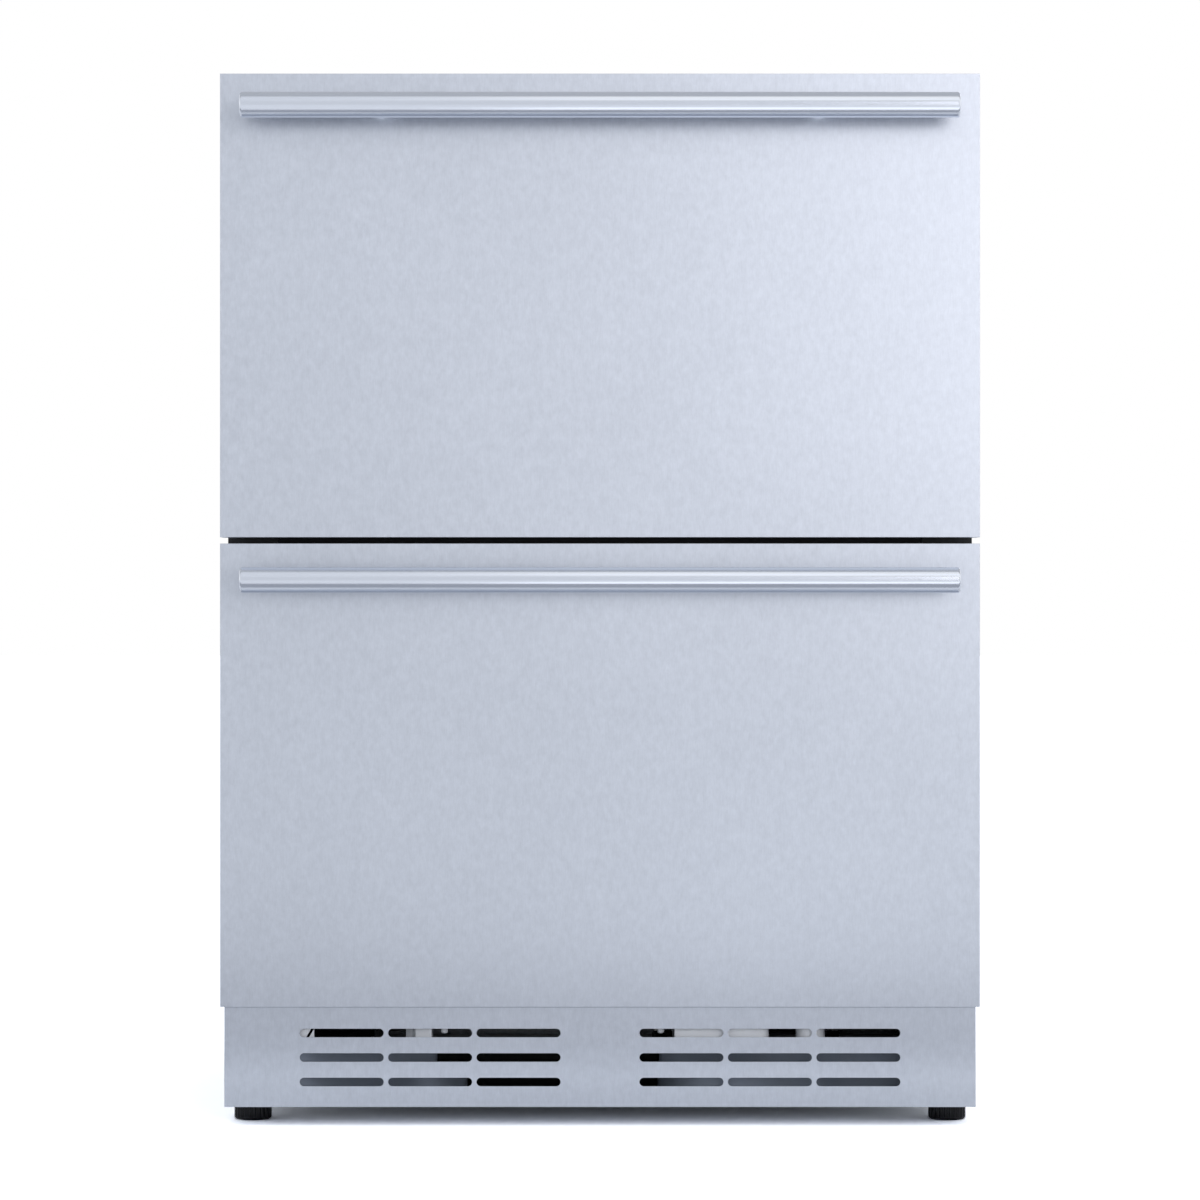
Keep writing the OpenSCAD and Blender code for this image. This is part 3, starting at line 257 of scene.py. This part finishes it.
def foam(name, look):
    # sprayed foam: closed cells with darker skins between them
    finish = Finish(name, {"Metallic": 0.0})
    cell = finish.cells(look["cell"])
    flow = finish.noise((foamMix["flowSize"],) * 3, detail=4.0)
    wall = cell.above(foamMix["cellFrom"], foamMix["cellEdge"])
    finish.colour(wall * foamMix["cell"] + flow * foamMix["flow"], look["low"], look["high"])
    finish.rough(look["rough"] + flow.swing(look["spread"]))
    finish.bump(cell, look["bump"], look["relief"])
    return finish.material


copperMix = {
    "patchSize": 26, "drawSize": 700, "heatFrom": 0.52, "heatEdge": 0.12, "heatTone": 0.8, "heatDull": 0.22,
}


def copper(name, look):
    # drawn copper with darker, duller patches where it was heated
    finish = Finish(name, {"Metallic": 1.0})
    patch = finish.noise((copperMix["patchSize"],) * 3, detail=4.0, rough=0.6)
    draw = finish.noise((copperMix["drawSize"],) * 3, detail=2.0)
    toned = finish.colour(draw, look["low"], look["high"])
    heat = patch.above(copperMix["heatFrom"], copperMix["heatEdge"])
    finish.colour(heat * copperMix["heatTone"], toned, look["heated"])
    finish.rough(look["rough"] + heat * copperMix["heatDull"])
    finish.bump(draw, look["bump"], look["relief"])
    return finish.material


turnedSteel = {
    "low": (0.735, 0.775, 0.85), "high": (0.835, 0.88, 0.96), "rough": 0.19, "spread": 0.10, "bump": 0.03,
    "grain": (60, 1600, 1600), "mottle": (50, 500, 500),
}
# a finish for each slot of the record, and for the pieces that want one of their own
finishes = {
    "stainless": brushedSteel("brushedFront", {
        "low": (0.49, 0.523, 0.58), "high": (0.79, 0.837, 0.92), "rough": 0.34, "streak": 0.6,
        "spread": 0.12, "bump": 0.05, "grain": (1400, 1400, 130), "mottle": (210, 210, 150)}),
    "handle_steel": brushedSteel("turnedHandle", turnedSteel),
    # the bar's back half, from y -311 mm on, gets a painted shade that darkens its reflection in the panel
    # under the bar
    "bar_steel": brushedSteel("turnedBar", {**turnedSteel, "paintedShadeBehind": -311, "dull": (0.40, 0.42, 0.47)}),
    "bin_steel": brushedSteel("binSteel", {
        "low": (0.50, 0.52, 0.56), "high": (0.72, 0.74, 0.79), "rough": 0.34, "spread": 0.12, "bump": 0.05,
        "grain": (80, 80, 1300), "mottle": (120, 120, 400)}),
    "slide_steel": brushedSteel("slideZinc", {
        "low": (0.42, 0.44, 0.46), "high": (0.66, 0.68, 0.70), "rough": 0.30, "spread": 0.14, "bump": 0.05,
        "grain": (900, 50, 900), "mottle": (300, 60, 300)}),
    "cage_steel": brushedSteel("ballSteel", {
        "low": (0.30, 0.31, 0.33), "high": (0.52, 0.54, 0.56), "rough": 0.22, "spread": 0.10, "bump": 0.03,
        "grain": (900, 200, 900), "mottle": (300, 300, 300)}),
    "motor_steel": brushedSteel("motorShell", {
        "low": (0.33, 0.34, 0.36), "high": (0.52, 0.54, 0.56), "rough": 0.35, "spread": 0.12, "bump": 0.05,
        "grain": (700, 700, 700), "mottle": (90, 90, 90)}),
    "screw_steel": brushedSteel("zincScrew", {
        "low": (0.48, 0.49, 0.50), "high": (0.72, 0.73, 0.74), "rough": 0.28, "spread": 0.12, "bump": 0.04,
        "grain": (900, 900, 900), "mottle": (400, 400, 400)}),
    "fin_aluminium": brushedSteel("coilFins", {
        "low": (0.60, 0.62, 0.64), "high": (0.82, 0.84, 0.86), "rough": 0.33, "spread": 0.12, "bump": 0.06,
        "grain": (600, 60, 60), "mottle": (200, 200, 200)}),
    "galvanised": zincSheet("galvanisedSheet", {
        "low": (0.43, 0.45, 0.47), "high": (0.62, 0.64, 0.66), "rough": 0.38, "spread": 0.14,
        "flake": 150}),
    "guide_zinc": brushedSteel("guideZinc", {
        "low": (0.20, 0.23, 0.285), "high": (0.29, 0.33, 0.40), "rough": 0.6, "spread": 0.16, "bump": 0.05,
        "metallic": 0.1, "grain": (500, 500, 500), "mottle": (60, 60, 60)}),
    "black_paint": paint("blackShell", {
        "low": (0.012, 0.012, 0.013), "high": (0.022, 0.022, 0.024), "rough": 0.48, "spread": 0.14,
        "peel": 1500, "bump": 0.25}),
    "compressor_black": paint("compressorLacquer", {
        "low": (0.010, 0.010, 0.011), "high": (0.020, 0.020, 0.021), "rough": 0.28, "spread": 0.12,
        "peel": 420, "bump": 0.18}),
    "coil_paint": paint("dippedCoil", {
        "low": (0.018, 0.018, 0.020), "high": (0.045, 0.046, 0.050), "rough": 0.42, "spread": 0.16,
        "peel": 900, "bump": 0.2}),
    "control_black": paint("touchFace", {
        "low": (0.010, 0.010, 0.012), "high": (0.014, 0.014, 0.016), "rough": 0.10, "spread": 0.06,
        "peel": 60, "bump": 0.02}),
    "smoked": paint("smokedWindow", {
        "low": (0.020, 0.024, 0.030), "high": (0.030, 0.036, 0.044), "rough": 0.06, "spread": 0.04,
        "peel": 60, "bump": 0.01}),
    "black_plastic": moulded("blackPlastic", {
        "low": (0.010, 0.010, 0.012), "high": (0.018, 0.018, 0.021), "rough": 0.45, "spread": 0.1,
        "grain": 1700, "bump": 0.2, "specular": 0.25}),
    "foot_plastic": moulded("footPlastic", {
        "low": (0.002, 0.002, 0.004), "high": (0.004, 0.004, 0.007), "rough": 0.11, "spread": 0.06,
        "grain": 1400, "bump": 0.06, "specular": 0.3}),
    "black_rubber": moulded("gasketRubber", {
        "low": (0.010, 0.010, 0.011), "high": (0.020, 0.020, 0.022), "rough": 0.62, "spread": 0.1,
        "grain": 1200, "bump": 0.2, "specular": 0.25}),
    "bitumen": moulded("bitumenPad", {
        "low": (0.003, 0.0035, 0.006), "high": (0.008, 0.009, 0.013), "rough": 0.92, "spread": 0.06,
        "grain": 700, "bump": 0.4, "specular": 0.05}),
    "grey_plastic": moulded("greyPlastic", {
        "low": (0.085, 0.088, 0.092), "high": (0.115, 0.118, 0.125), "rough": 0.42, "spread": 0.12,
        "grain": 1500, "bump": 0.15}),
    "white_plastic": moulded("whitePlastic", {
        "low": (0.83, 0.845, 0.86), "high": (0.90, 0.915, 0.93), "rough": 0.40, "spread": 0.1,
        "grain": 1300, "bump": 0.12, "milky": 0.05}),
    "white_liner": moulded("linerPlastic", {
        "low": (0.78, 0.79, 0.795), "high": (0.86, 0.87, 0.875), "rough": 0.30, "spread": 0.1,
        "grain": 380, "bump": 0.08, "milky": 0.08}),
    "lens": moulded("opalLens", {
        "low": (0.88, 0.88, 0.86), "high": (0.93, 0.93, 0.91), "rough": 0.30, "spread": 0.06,
        "grain": 2200, "bump": 0.15, "milky": 0.5}),
    "foam": foam("insulationFoam", {
        "low": (0.55, 0.45, 0.25), "high": (0.80, 0.70, 0.45), "rough": 0.85, "spread": 0.1,
        "cell": 900, "bump": 0.6, "relief": 0.6}),
    "copper": copper("copperTube", {
        "low": (0.72, 0.36, 0.22), "high": (0.86, 0.48, 0.32), "heated": (0.28, 0.15, 0.11), "rough": 0.26,
        "bump": 0.06, "relief": 0.05}),
}
print("finishes ready:", len(finishes))


def settle(name, work, finish, body, nodes=()):
    # turns finished mesh work into a piece that rides on its body
    mesh = bpy.data.meshes.new(name)
    work.to_mesh(mesh)
    work.free()
    mesh.materials.append(finishes[finish])
    piece = bpy.data.objects.new(name, mesh)
    bpy.context.scene.collection.objects.link(piece)
    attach(piece, body)
    if nodes:
        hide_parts(*nodes)
    return piece


# a node of one word gets a name of its own, because the CAD object already has the plain one
shortNames = {
    "insulation": "cabinetFoam", "liner": "linerShell", "mullion": "mullionBar",
    "compressor": "compressorShell", "condenser": "condenserCoil", "evaporator": "evaporatorCoil",
}


def camel(name):
    first, *rest = name.split("_")
    return shortNames.get(name, first + "".join(word.capitalize() for word in rest))


weldLook = {"gap": 2e-6, "flat": 0.3}  # metres and degrees


def merged(node):
    # a copy of a CAD node's mesh, welded, with its flat faces whole again
    work = bmesh.new()
    work.from_mesh(frame["nodes"][node].data)
    bmesh.ops.remove_doubles(work, verts=work.verts, dist=weldLook["gap"])
    bmesh.ops.dissolve_limit(work, angle_limit=math.radians(weldLook["flat"]), verts=work.verts,
                             edges=work.edges, use_dissolve_boundaries=False)
    return work


def vertsOf(parts):
    return [part for part in parts if isinstance(part, bmesh.types.BMVert)]


def uprightsOf(work):
    # the edges that stand along z
    return [e for e in work.edges if abs((e.verts[0].co - e.verts[1].co).normalized().z) > 0.9]


def roundOff(work, edges, width, steps):
    # gives back the faces of the rounds; the width is in millimetres
    return bmesh.ops.bevel(work, geom=edges, offset=width * mm, offset_type="OFFSET", affect="EDGES",
                           segments=steps, profile=0.5, clamp_overlap=True, material=-1)["faces"]


# edges between faces at more than these angles are rounded: on CAD pieces, and on plain boxes and rounds;
# faces at less than the last angle are shaded as one curve
softLook = {"sharp": 38, "plain": 60, "curved": 24, "steps": 2}


def soften(work, width, sharp=softLook["sharp"]):
    # rounds the sharp edges, then shades the rounds and the curved faces smooth and the flat ones flat
    rims = [e for e in work.edges if e.is_manifold and e.calc_face_angle() > math.radians(sharp)]
    rounds = set(roundOff(work, rims, width, softLook["steps"])) if width else set()
    for face in work.faces:
        face.smooth = True
    for edge in work.edges:
        if not edge.is_manifold:
            edge.smooth = False
            continue
        inRound = [face in rounds for face in edge.link_faces]
        curved = edge.calc_face_angle() < math.radians(softLook["curved"]) and not any(inRound)
        edge.smooth = all(inRound) or curved


# a flat face of this area, in square millimetres, with more sides than this, is a screw's head
recessLook = {
    "cap": (35, 52), "sides": 40, "slot": 0.55, "arm": 2.2, "deep": 1.1, "taper": 0.75,
    "turn": 7900, "quarter": 90,
}


def cutRecess(work, head, look):
    # a tapered cross sunk into one flat screw head, each at its own turn
    centre, normal = head.calc_center_median(), head.normal.copy()
    degrees = (centre.x + centre.z) * look["turn"] % look["quarter"]
    turn = Matrix.Rotation(math.radians(degrees), 3, normal)
    across = turn @ normal.orthogonal().normalized()
    along = normal.cross(across)
    parts = [head, *head.edges, *head.verts]
    for axis in (across, along):
        for reach in (-look["arm"], -look["slot"], look["slot"], look["arm"]):
            at = centre + axis * reach * mm
            parts = bmesh.ops.bisect_plane(work, geom=parts, dist=1e-7, plane_co=at, plane_no=axis)["geom"]
    cross = []
    for face in (part for part in parts if isinstance(part, bmesh.types.BMFace)):
        offset = face.calc_center_median() - centre
        reaches = sorted((abs(offset.dot(across)), abs(offset.dot(along))))
        if reaches[0] < look["slot"] * mm and reaches[1] < look["arm"] * mm:
            cross.append(face)
    bottom = vertsOf(bmesh.ops.extrude_face_region(work, geom=cross)["geom"])
    bmesh.ops.delete(work, geom=cross, context="FACES")
    bmesh.ops.scale(work, vec=(look["taper"],) * 3, space=Matrix.Translation(-centre), verts=bottom)
    bmesh.ops.translate(work, verts=bottom, vec=-normal * look["deep"] * mm)
    for face in {face for vert in bottom for face in vert.link_faces}:
        face.smooth = False


def cutRecesses(work):
    least, most = (area * mm * mm for area in recessLook["cap"])
    heads = [face for face in work.faces
             if len(face.verts) > recessLook["sides"] and least < face.calc_area() < most]
    for head in heads:
        cutRecess(work, head, recessLook)
    print("recesses cut:", len(heads))


def dress(node, width, finish=None, change=None):
    work = merged(node)
    if change:
        change(work)
    soften(work, width)
    if node in recessed:
        cutRecesses(work)
    settle(camel(node), work, finish or slotOf[node], bodyOf[node], [node])


# how much each node's edges are rounded, in millimetres, and its finish where that isn't its slot's
edgeWidths = {
    "outer_shell": 0.35, "back_panel": 0.3, "step_panel": 0.3, "insulation": 0, "liner": 0.7,
    "front_frame": 0.4, "mullion": 0.8, "base_pan": 0.4, "kick_plate": 0.35, "rear_grille": 0.25,
    "counter_brackets": 0.4, "cabinet_fasteners": 0.35, "compressor": 0.8, "compressor_grommets": 0.5,
    "condenser": 0, "fan_shroud": 0.3, "condenser_motor": 0.6, "condenser_fan": 0.3, "drain_pan": 0.6,
    "drain_trough": 0.5, "refrigerant_pipes": 0, "evaporator": 0, "evaporator_cover": 0.6,
    "evaporator_motor": 0.5, "evaporator_fan": 0.3, "electrics_box": 0.8, "cord_gland": 0.5,
    "control_housing": 0.8, "lamp_lens": 0.8, "outer_rails": 0.25,
}
drawerWidths = {
    "front_skin": 0.45, "front_foam": 0, "inner_panel": 0.6, "handle_bar": 0.8, "handle_posts": 0.25,
    "drawer_screws": 0.4, "drawer_arms": 0.3, "inner_rails": 0.2, "bin": 0.4,
    "outer_cages": 0, "middle_rails": 0.2, "inner_cages": 0,
}
drawerFinish = {"bin": "bin_steel", "handle_bar": "bar_steel"}
footWidth = 0.25
recessed = ("cabinet_fasteners", "upper_drawer_screws", "lower_drawer_screws")

relayBoxLook = {"corner": 6.0, "steps": 5}


def roundRelayBox(work):
    # the moulded box has one well rounded upright edge, front right
    low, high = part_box("electrics_box")
    corner = [e for e in work.edges
              if all(abs(v.co.x - high.x) < mm and abs(v.co.y - low.y) < mm for v in e.verts)]
    roundOff(work, corner, relayBoxLook["corner"], relayBoxLook["steps"])


changes = {"electrics_box": roundRelayBox}
for node, width in edgeWidths.items():
    dress(node, width, change=changes.get(node))
for drawer in ("upper", "lower"):
    for part, width in drawerWidths.items():
        dress(f"{drawer}_{part}", width, drawerFinish.get(part))
for node in ("foot_front_left", "foot_front_right", "foot_rear_left", "foot_rear_right"):
    dress(node, footWidth)
print("CAD pieces dressed")

# the gasket's profile, as (distance in from its outer edge, depth from the inner panel), in millimetres
gasketLook = {"outline": [
    (0, 0), (16, 0), (16, 1.7), (12.6, 2.0), (12.6, 2.5), (11.2, 3.2), (12.6, 3.9), (12.6, 4.5),
    (15, 4.6), (15.6, 5.1), (15.6, 7.2), (15.1, 7.7), (9, 7.7), (8.6, 7.3), (7.4, 7.3), (7, 7.7),
    (0.9, 7.7), (0.4, 7.2), (0.4, 5.1), (1, 4.6), (3.4, 4.5), (3.4, 3.9), (4.8, 3.2), (3.4, 2.5),
    (3.4, 2.0), (0, 1.7)]}


def makeGasket(node, look):
    # the profile set at the four corners, mitred, and bridged from each to the next
    low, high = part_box(node)
    corners = ((low.x, 1, low.z, 1), (high.x, -1, low.z, 1),
               (high.x, -1, high.z, -1), (low.x, 1, high.z, -1))
    work = bmesh.new()
    loops = []
    for x, inX, z, inZ in corners:
        ring = [work.verts.new((x + inX * into * mm, low.y + deep * mm, z + inZ * into * mm))
                for into, deep in look["outline"]]
        loops.append([work.edges.new((ring[i - 1], ring[i])) for i in range(len(ring))])
    for i in range(4):
        bmesh.ops.bridge_loops(work, edges=loops[i - 1] + loops[i])
    bmesh.ops.recalc_face_normals(work, faces=work.faces)
    settle(camel(node), work, "black_rubber", bodyOf[node], [node])


for node in ("upper_gasket", "lower_gasket"):
    makeGasket(node, gasketLook)
print("gaskets made")

# the control's touch face, set on the slope of its housing, with a display window and touch spots
controlLook = {
    "foot": (0, -200, 768.5), "slope": (26, -17),
    "plate": (150, 23, 1.0), "corner": 4, "cornerSteps": 6, "plateEdge": 0.25,
    "window": (34, 11, 0.5), "windowEdge": 0.2,
    "spots": (-60, -45, -30, 30, 45, 60), "spotSides": 32, "spotFoot": 2.6, "spotTop": 2.4,
    "spotProud": 0.3, "spotRim": 0.5, "spotDish": 0.15,
}


def boxWork(size, middle=(0, 0, 0)):
    # a box about its middle, in millimetres
    work = bmesh.new()
    wide, deep, tall = (length * mm for length in size)
    place = Matrix.Translation([at * mm for at in middle])
    bmesh.ops.create_cube(work, size=1, matrix=place @ Matrix.Diagonal((wide, deep, tall, 1)))
    return work


def makeControl(look):
    # each piece is made flat, face up, and then set on the slope
    back, down = Vector(look["slope"]).normalized()
    turn = Matrix(((1, 0, 0), (0, -back, down), (0, -down, -back))).to_4x4()
    place = Matrix.Translation(Vector(look["foot"]) * mm) @ turn
    thick = look["plate"][2]
    work = boxWork(look["plate"])
    roundOff(work, uprightsOf(work), look["corner"], look["cornerSteps"])
    soften(work, look["plateEdge"], softLook["plain"])
    bmesh.ops.transform(work, matrix=place, verts=work.verts)
    settle("controlFace", work, "control_black", "cabinet")

    work = boxWork(look["window"], (0, 0, (thick + look["window"][2]) / 2))
    soften(work, look["windowEdge"], softLook["plain"])
    bmesh.ops.transform(work, matrix=place, verts=work.verts)
    settle("controlWindow", work, "smoked", "cabinet")

    work = bmesh.new()
    for x in look["spots"]:
        spot = Matrix.Translation((x * mm, 0, (thick / 2 + look["spotProud"] / 2) * mm))
        bmesh.ops.create_cone(work, cap_ends=True, segments=look["spotSides"],
                              radius1=look["spotFoot"] * mm, radius2=look["spotTop"] * mm,
                              depth=look["spotProud"] * mm, matrix=spot)
    tops = [f for f in work.faces if len(f.verts) == look["spotSides"] and f.normal.z > 0]
    bmesh.ops.inset_individual(work, faces=tops, thickness=look["spotRim"] * mm,
                               depth=-look["spotDish"] * mm)
    soften(work, 0)
    bmesh.ops.transform(work, matrix=place, verts=work.verts)
    settle("controlSpots", work, "grey_plastic", "cabinet")


makeControl(controlLook)
print("control face made")

# behind the kick plate's slots: bent guides keep the warm air from the lower rows, and a wiring clip,
# a bracket, two stubs and the run capacitor hang from the plate's top flange, all in millimetres
guideSheet = {"thick": 1.0, "bends": 2}
guideLook = {
    "leftLowGuide": {"z": (21, 43.5), "plan": [
        (-247, -260.6), (-236, -258.5), (-224, -252), (-208, -243), (-192, -238), (-172, -237),
        (-158, -243), (-146, -250), (-136, -252.5), (-125, -248), (-115, -240), (-106, -231)]},
    "leftHighGuide": {"z": (44.5, 63), "plan": [
        (-247, -260.8), (-238, -259.8), (-226, -253), (-208, -243), (-190, -237), (-160, -236),
        (-138, -235), (-130, -230)]},
    "rightLowGuide": {"z": (21, 43.5), "plan": [
        (46, -229), (53, -238), (62, -246), (74, -252.5), (92, -254.5), (118, -254), (136, -250),
        (148, -246), (158, -248), (168, -252.5), (178, -248), (188, -239), (214, -237), (247, -243)]},
    "rightHighGuide": {"z": (44.5, 63), "plan": [
        (47, -230), (58, -237), (120, -238), (200, -238), (226, -240), (247, -244)]},
}
hungLook = {
    "clipHook": {"view": "front", "span": (-259, -250), "edge": 0.5,
                 "outline": [(-238, 61), (-227.4, 79.3), (-227.4, 92.8), (-238, 92.8)]},
    "clipGate": {"view": "front", "span": (-259, -250), "edge": 0.5,
                 "outline": [(-235.7, 61), (-226.6, 61), (-226.6, 76.8)]},
    "wiringBracket": {"view": "plan", "span": (62, 92.8), "edge": 0.7,
                      "outline": [(-154.4, -246), (-148.6, -249), (-146.5, -256.5),
                                  (-133.3, -258), (-133.3, -236), (-154.4, -236)]},
}
stubRound = {"sides": 40, "tipSteps": 4, "edge": 0.3}
stubLook = {
    "leftStub": {"at": (-123.4, -253), "radius": 2.7, "z": (72.4, 92.8), "tip": 1.6},
    "rightStub": {"at": (48.1, -253), "radius": 2.7, "z": (72.6, 92.8), "tip": 1.6},
    "runCapacitor": {"at": (167.2, -247.5), "radius": 11.5, "z": (61.5, 92.8), "tip": 3.5},
}


def makeGuide(name, look):
    # one row of points raised to a strip; the modifiers round its bends and give it its thickness
    low, high = look["z"]
    work = bmesh.new()
    row = [work.verts.new((x * mm, y * mm, low * mm)) for x, y in look["plan"]]
    edges = [work.edges.new(pair) for pair in zip(row, row[1:])]
    raised = bmesh.ops.extrude_edge_only(work, edges=edges)["geom"]
    bmesh.ops.translate(work, verts=vertsOf(raised), vec=(0, 0, (high - low) * mm))
    for face in work.faces:
        face.smooth = True
        if face.normal.y > 0:
            face.normal_flip()
    guide = settle(name, work, "guide_zinc", "cabinet")
    bends = guide.modifiers.new("bends", "SUBSURF")
    bends.levels = bends.render_levels = guideSheet["bends"]
    bends.boundary_smooth = "PRESERVE_CORNERS"
    sheet = guide.modifiers.new("sheet", "SOLIDIFY")
    sheet.thickness = guideSheet["thick"] * mm
    sheet.offset = -1


def makeHung(name, look):
    # an outline drawn in plan or in front view, then drawn out across it
    near, far = look["span"]
    fromTop = look["view"] == "plan"
    work = bmesh.new()
    ring = [work.verts.new((x * mm, b * mm, near * mm) if fromTop else (x * mm, near * mm, b * mm))
            for x, b in look["outline"]]
    drawn = bmesh.ops.extrude_face_region(work, geom=[work.faces.new(ring)])["geom"]
    reach = (far - near) * mm
    bmesh.ops.translate(work, verts=vertsOf(drawn), vec=(0, 0, reach) if fromTop else (0, reach, 0))
    bmesh.ops.recalc_face_normals(work, faces=work.faces)
    soften(work, look["edge"])
    settle(name, work, "white_plastic", "cabinet")


def makeStub(name, look):
    # an upright round with its lower rim rounded over
    (x, y), (low, high), radius = look["at"], look["z"], look["radius"] * mm
    middle = (low + high) / 2 * mm
    work = bmesh.new()
    bmesh.ops.create_cone(work, cap_ends=True, segments=stubRound["sides"], radius1=radius, radius2=radius,
                          depth=(high - low) * mm, matrix=Matrix.Translation((x * mm, y * mm, middle)))
    rim = [e for e in work.edges if all(v.co.z < middle for v in e.verts)]
    roundOff(work, rim, look["tip"], stubRound["tipSteps"])
    soften(work, stubRound["edge"], softLook["plain"])
    settle(name, work, "white_plastic", "cabinet")


# a bitumen sheet that deadens the pan
padLook = {
    "x": (-150, 62), "y": (-216, 150), "z": (17.7, 19.7), "corner": 12, "cornerSteps": 6, "edge": 0.5,
}


def makePad(look):
    spans = (look["x"], look["y"], look["z"])
    work = boxWork([high - low for low, high in spans], [(low + high) / 2 for low, high in spans])
    roundOff(work, uprightsOf(work), look["corner"], look["cornerSteps"])
    soften(work, look["edge"], softLook["plain"])
    settle("dampingPad", work, "bitumen", "cabinet")


makePad(padLook)
for name, look in guideLook.items():
    makeGuide(name, look)
for name, look in hungLook.items():
    makeHung(name, look)
for name, look in stubLook.items():
    makeStub(name, look)
print("grille backing made")

# the studio: pale floor, white surroundings, a wide softbox front right, a weaker one behind, and cards
# that only reflections see: the wall behind the camera, the floor in front, a strip low and one high on the
# right, one up on the left and one over the top; a floor brighter than 1 shows as plain white
studio = {
    "cardTone": (0.985, 1.007, 1.06), "keyTone": (1.0, 0.958, 0.965),
    "floorSize": 60.0, "floorSeen": 2.5, "floorMirrored": 1.0, "floorLit": 0.8, "worldLit": 0.72,
    "worldTone": (0.94, 0.98, 1.06),
    "lights": {
        "rightSoftbox": {"at": (1.1, -2.7, 1.08), "aim": (0.1, -0.27, 0.6), "size": (1.1, 1.4),
                         "level": 1.68},
        "rearFill": {"at": (1.4, 3.0, 2.4), "aim": (0, 0.2, 0.4), "size": (2.0, 1.5), "level": 1.2},
    },
    "cards": {
        "wallCard": {"at": (0, -6.0, 2.2), "size": (16, 4.4), "turn": 90, "level": 0.70},
        "farFloorCard": {"at": (0, -3.5, 0.01), "size": (16, 5.0), "turn": 0, "level": 0.78},
        "nearFloorCard": {"at": (0, -0.67, 0.034), "size": (16, 0.46), "turn": 0, "level": 0.37,
                         "tone": (0.96, 1.0, 1.12)},
        "lowStrip": {"at": (0.85, -1.31, 0.02), "size": (1.9, 0.89), "turn": 0, "level": 1.2},
        "highStrip": {"at": (2.0, -3.0, 3.4), "size": (4.4, 3.4), "turn": -40, "level": 1.1},
        "leftCard": {"at": (-4.1, -3.45, 3.2), "size": (7.9, 5.1), "turn": 0, "level": 0.74},
        "ceilingCard": {"at": (0, 1.9, 2.6), "size": (10, 5.6), "turn": 0, "level": 0.5},
    },
}


def sheetObject(name, size, place, material):
    # a flat sheet of the studio, in metres
    work = bmesh.new()
    sized = place @ Matrix.Diagonal((*size, 1, 1))
    bmesh.ops.create_grid(work, x_segments=1, y_segments=1, size=0.5, matrix=sized)
    mesh = bpy.data.meshes.new(name)
    work.to_mesh(mesh)
    work.free()
    mesh.materials.append(material)
    sheet = bpy.data.objects.new(name, mesh)
    bpy.context.scene.collection.objects.link(sheet)
    return sheet


def emptyTree(name):
    material = bpy.data.materials.new(name)
    material.use_nodes = True
    build = Nodes(material.node_tree)
    build.tree.nodes.clear()
    return material, build


def surface(build, shader):
    end = build.tree.nodes.new("ShaderNodeOutputMaterial")
    build.feed(end.inputs["Surface"], shader)


def makeFloor(setup):
    material, build = emptyTree("studioFloor")
    seen = build.node("LightPath", out="Is Camera Ray") + build.node("LightPath", out="Is Transmission Ray")
    mirrored = build.node("LightPath", out="Is Glossy Ray") * (setup["floorMirrored"] - setup["floorLit"])
    level = seen * (setup["floorSeen"] - setup["floorLit"]) + mirrored + setup["floorLit"]
    tone = build.node("CombineColor", sockets={"Red": level, "Green": level, "Blue": level})
    surface(build, build.node("BsdfDiffuse", sockets={"Color": tone}))
    sheetObject("studioFloor", (setup["floorSize"],) * 2, Matrix.Identity(4), material)


def makeCard(name, look):
    material, build = emptyTree(name)
    tone = look.get("tone", studio["cardTone"])
    surface(build, build.node("Emission", sockets={"Color": (*tone, 1), "Strength": look["level"]}))
    place = Matrix.Translation(look["at"]) @ Matrix.Rotation(math.radians(look["turn"]), 4, "X")
    card = sheetObject(name, look["size"], place, material)
    card.visible_camera = False
    card.visible_diffuse = False
    card.visible_transmission = False
    card.visible_shadow = False


def makeWorld(setup):
    world = bpy.data.worlds.new("studioWorld")
    world.use_nodes = True
    bpy.context.scene.world = world
    build = Nodes(world.node_tree)
    seen = build.node("LightPath", out="Is Camera Ray") + build.node("LightPath", out="Is Glossy Ray")
    seen = seen + build.node("LightPath", out="Is Transmission Ray")
    level = seen * (1 - setup["worldLit"]) + setup["worldLit"]
    shader = world.node_tree.nodes["Background"]
    tones = {0: seen, 6: (*setup["worldTone"], 1), 7: (1, 1, 1, 1)}
    tone = build.node("Mix", {"data_type": "RGBA"}, tones, 2)
    build.feed(shader.inputs["Color"], tone)
    build.feed(shader.inputs["Strength"], level)


def makeLight(name, look):
    data = bpy.data.lights.new(name, "AREA")
    data.shape = "RECTANGLE"
    data.size, data.size_y = look["size"]
    data.energy = look["level"] * math.pi * data.size * data.size_y
    data.color = studio["keyTone"]
    light = bpy.data.objects.new(name, data)
    light.location = look["at"]
    light.rotation_euler = (Vector(look["aim"]) - Vector(look["at"])).to_track_quat("-Z", "Y").to_euler()
    light.visible_camera = False
    bpy.context.scene.collection.objects.link(light)


for name, look in studio["cards"].items():
    makeCard(name, look)
makeFloor(studio)
makeWorld(studio)
for name, look in studio["lights"].items():
    makeLight(name, look)
bpy.context.scene.view_settings.view_transform = "Standard"
print("studio lit")
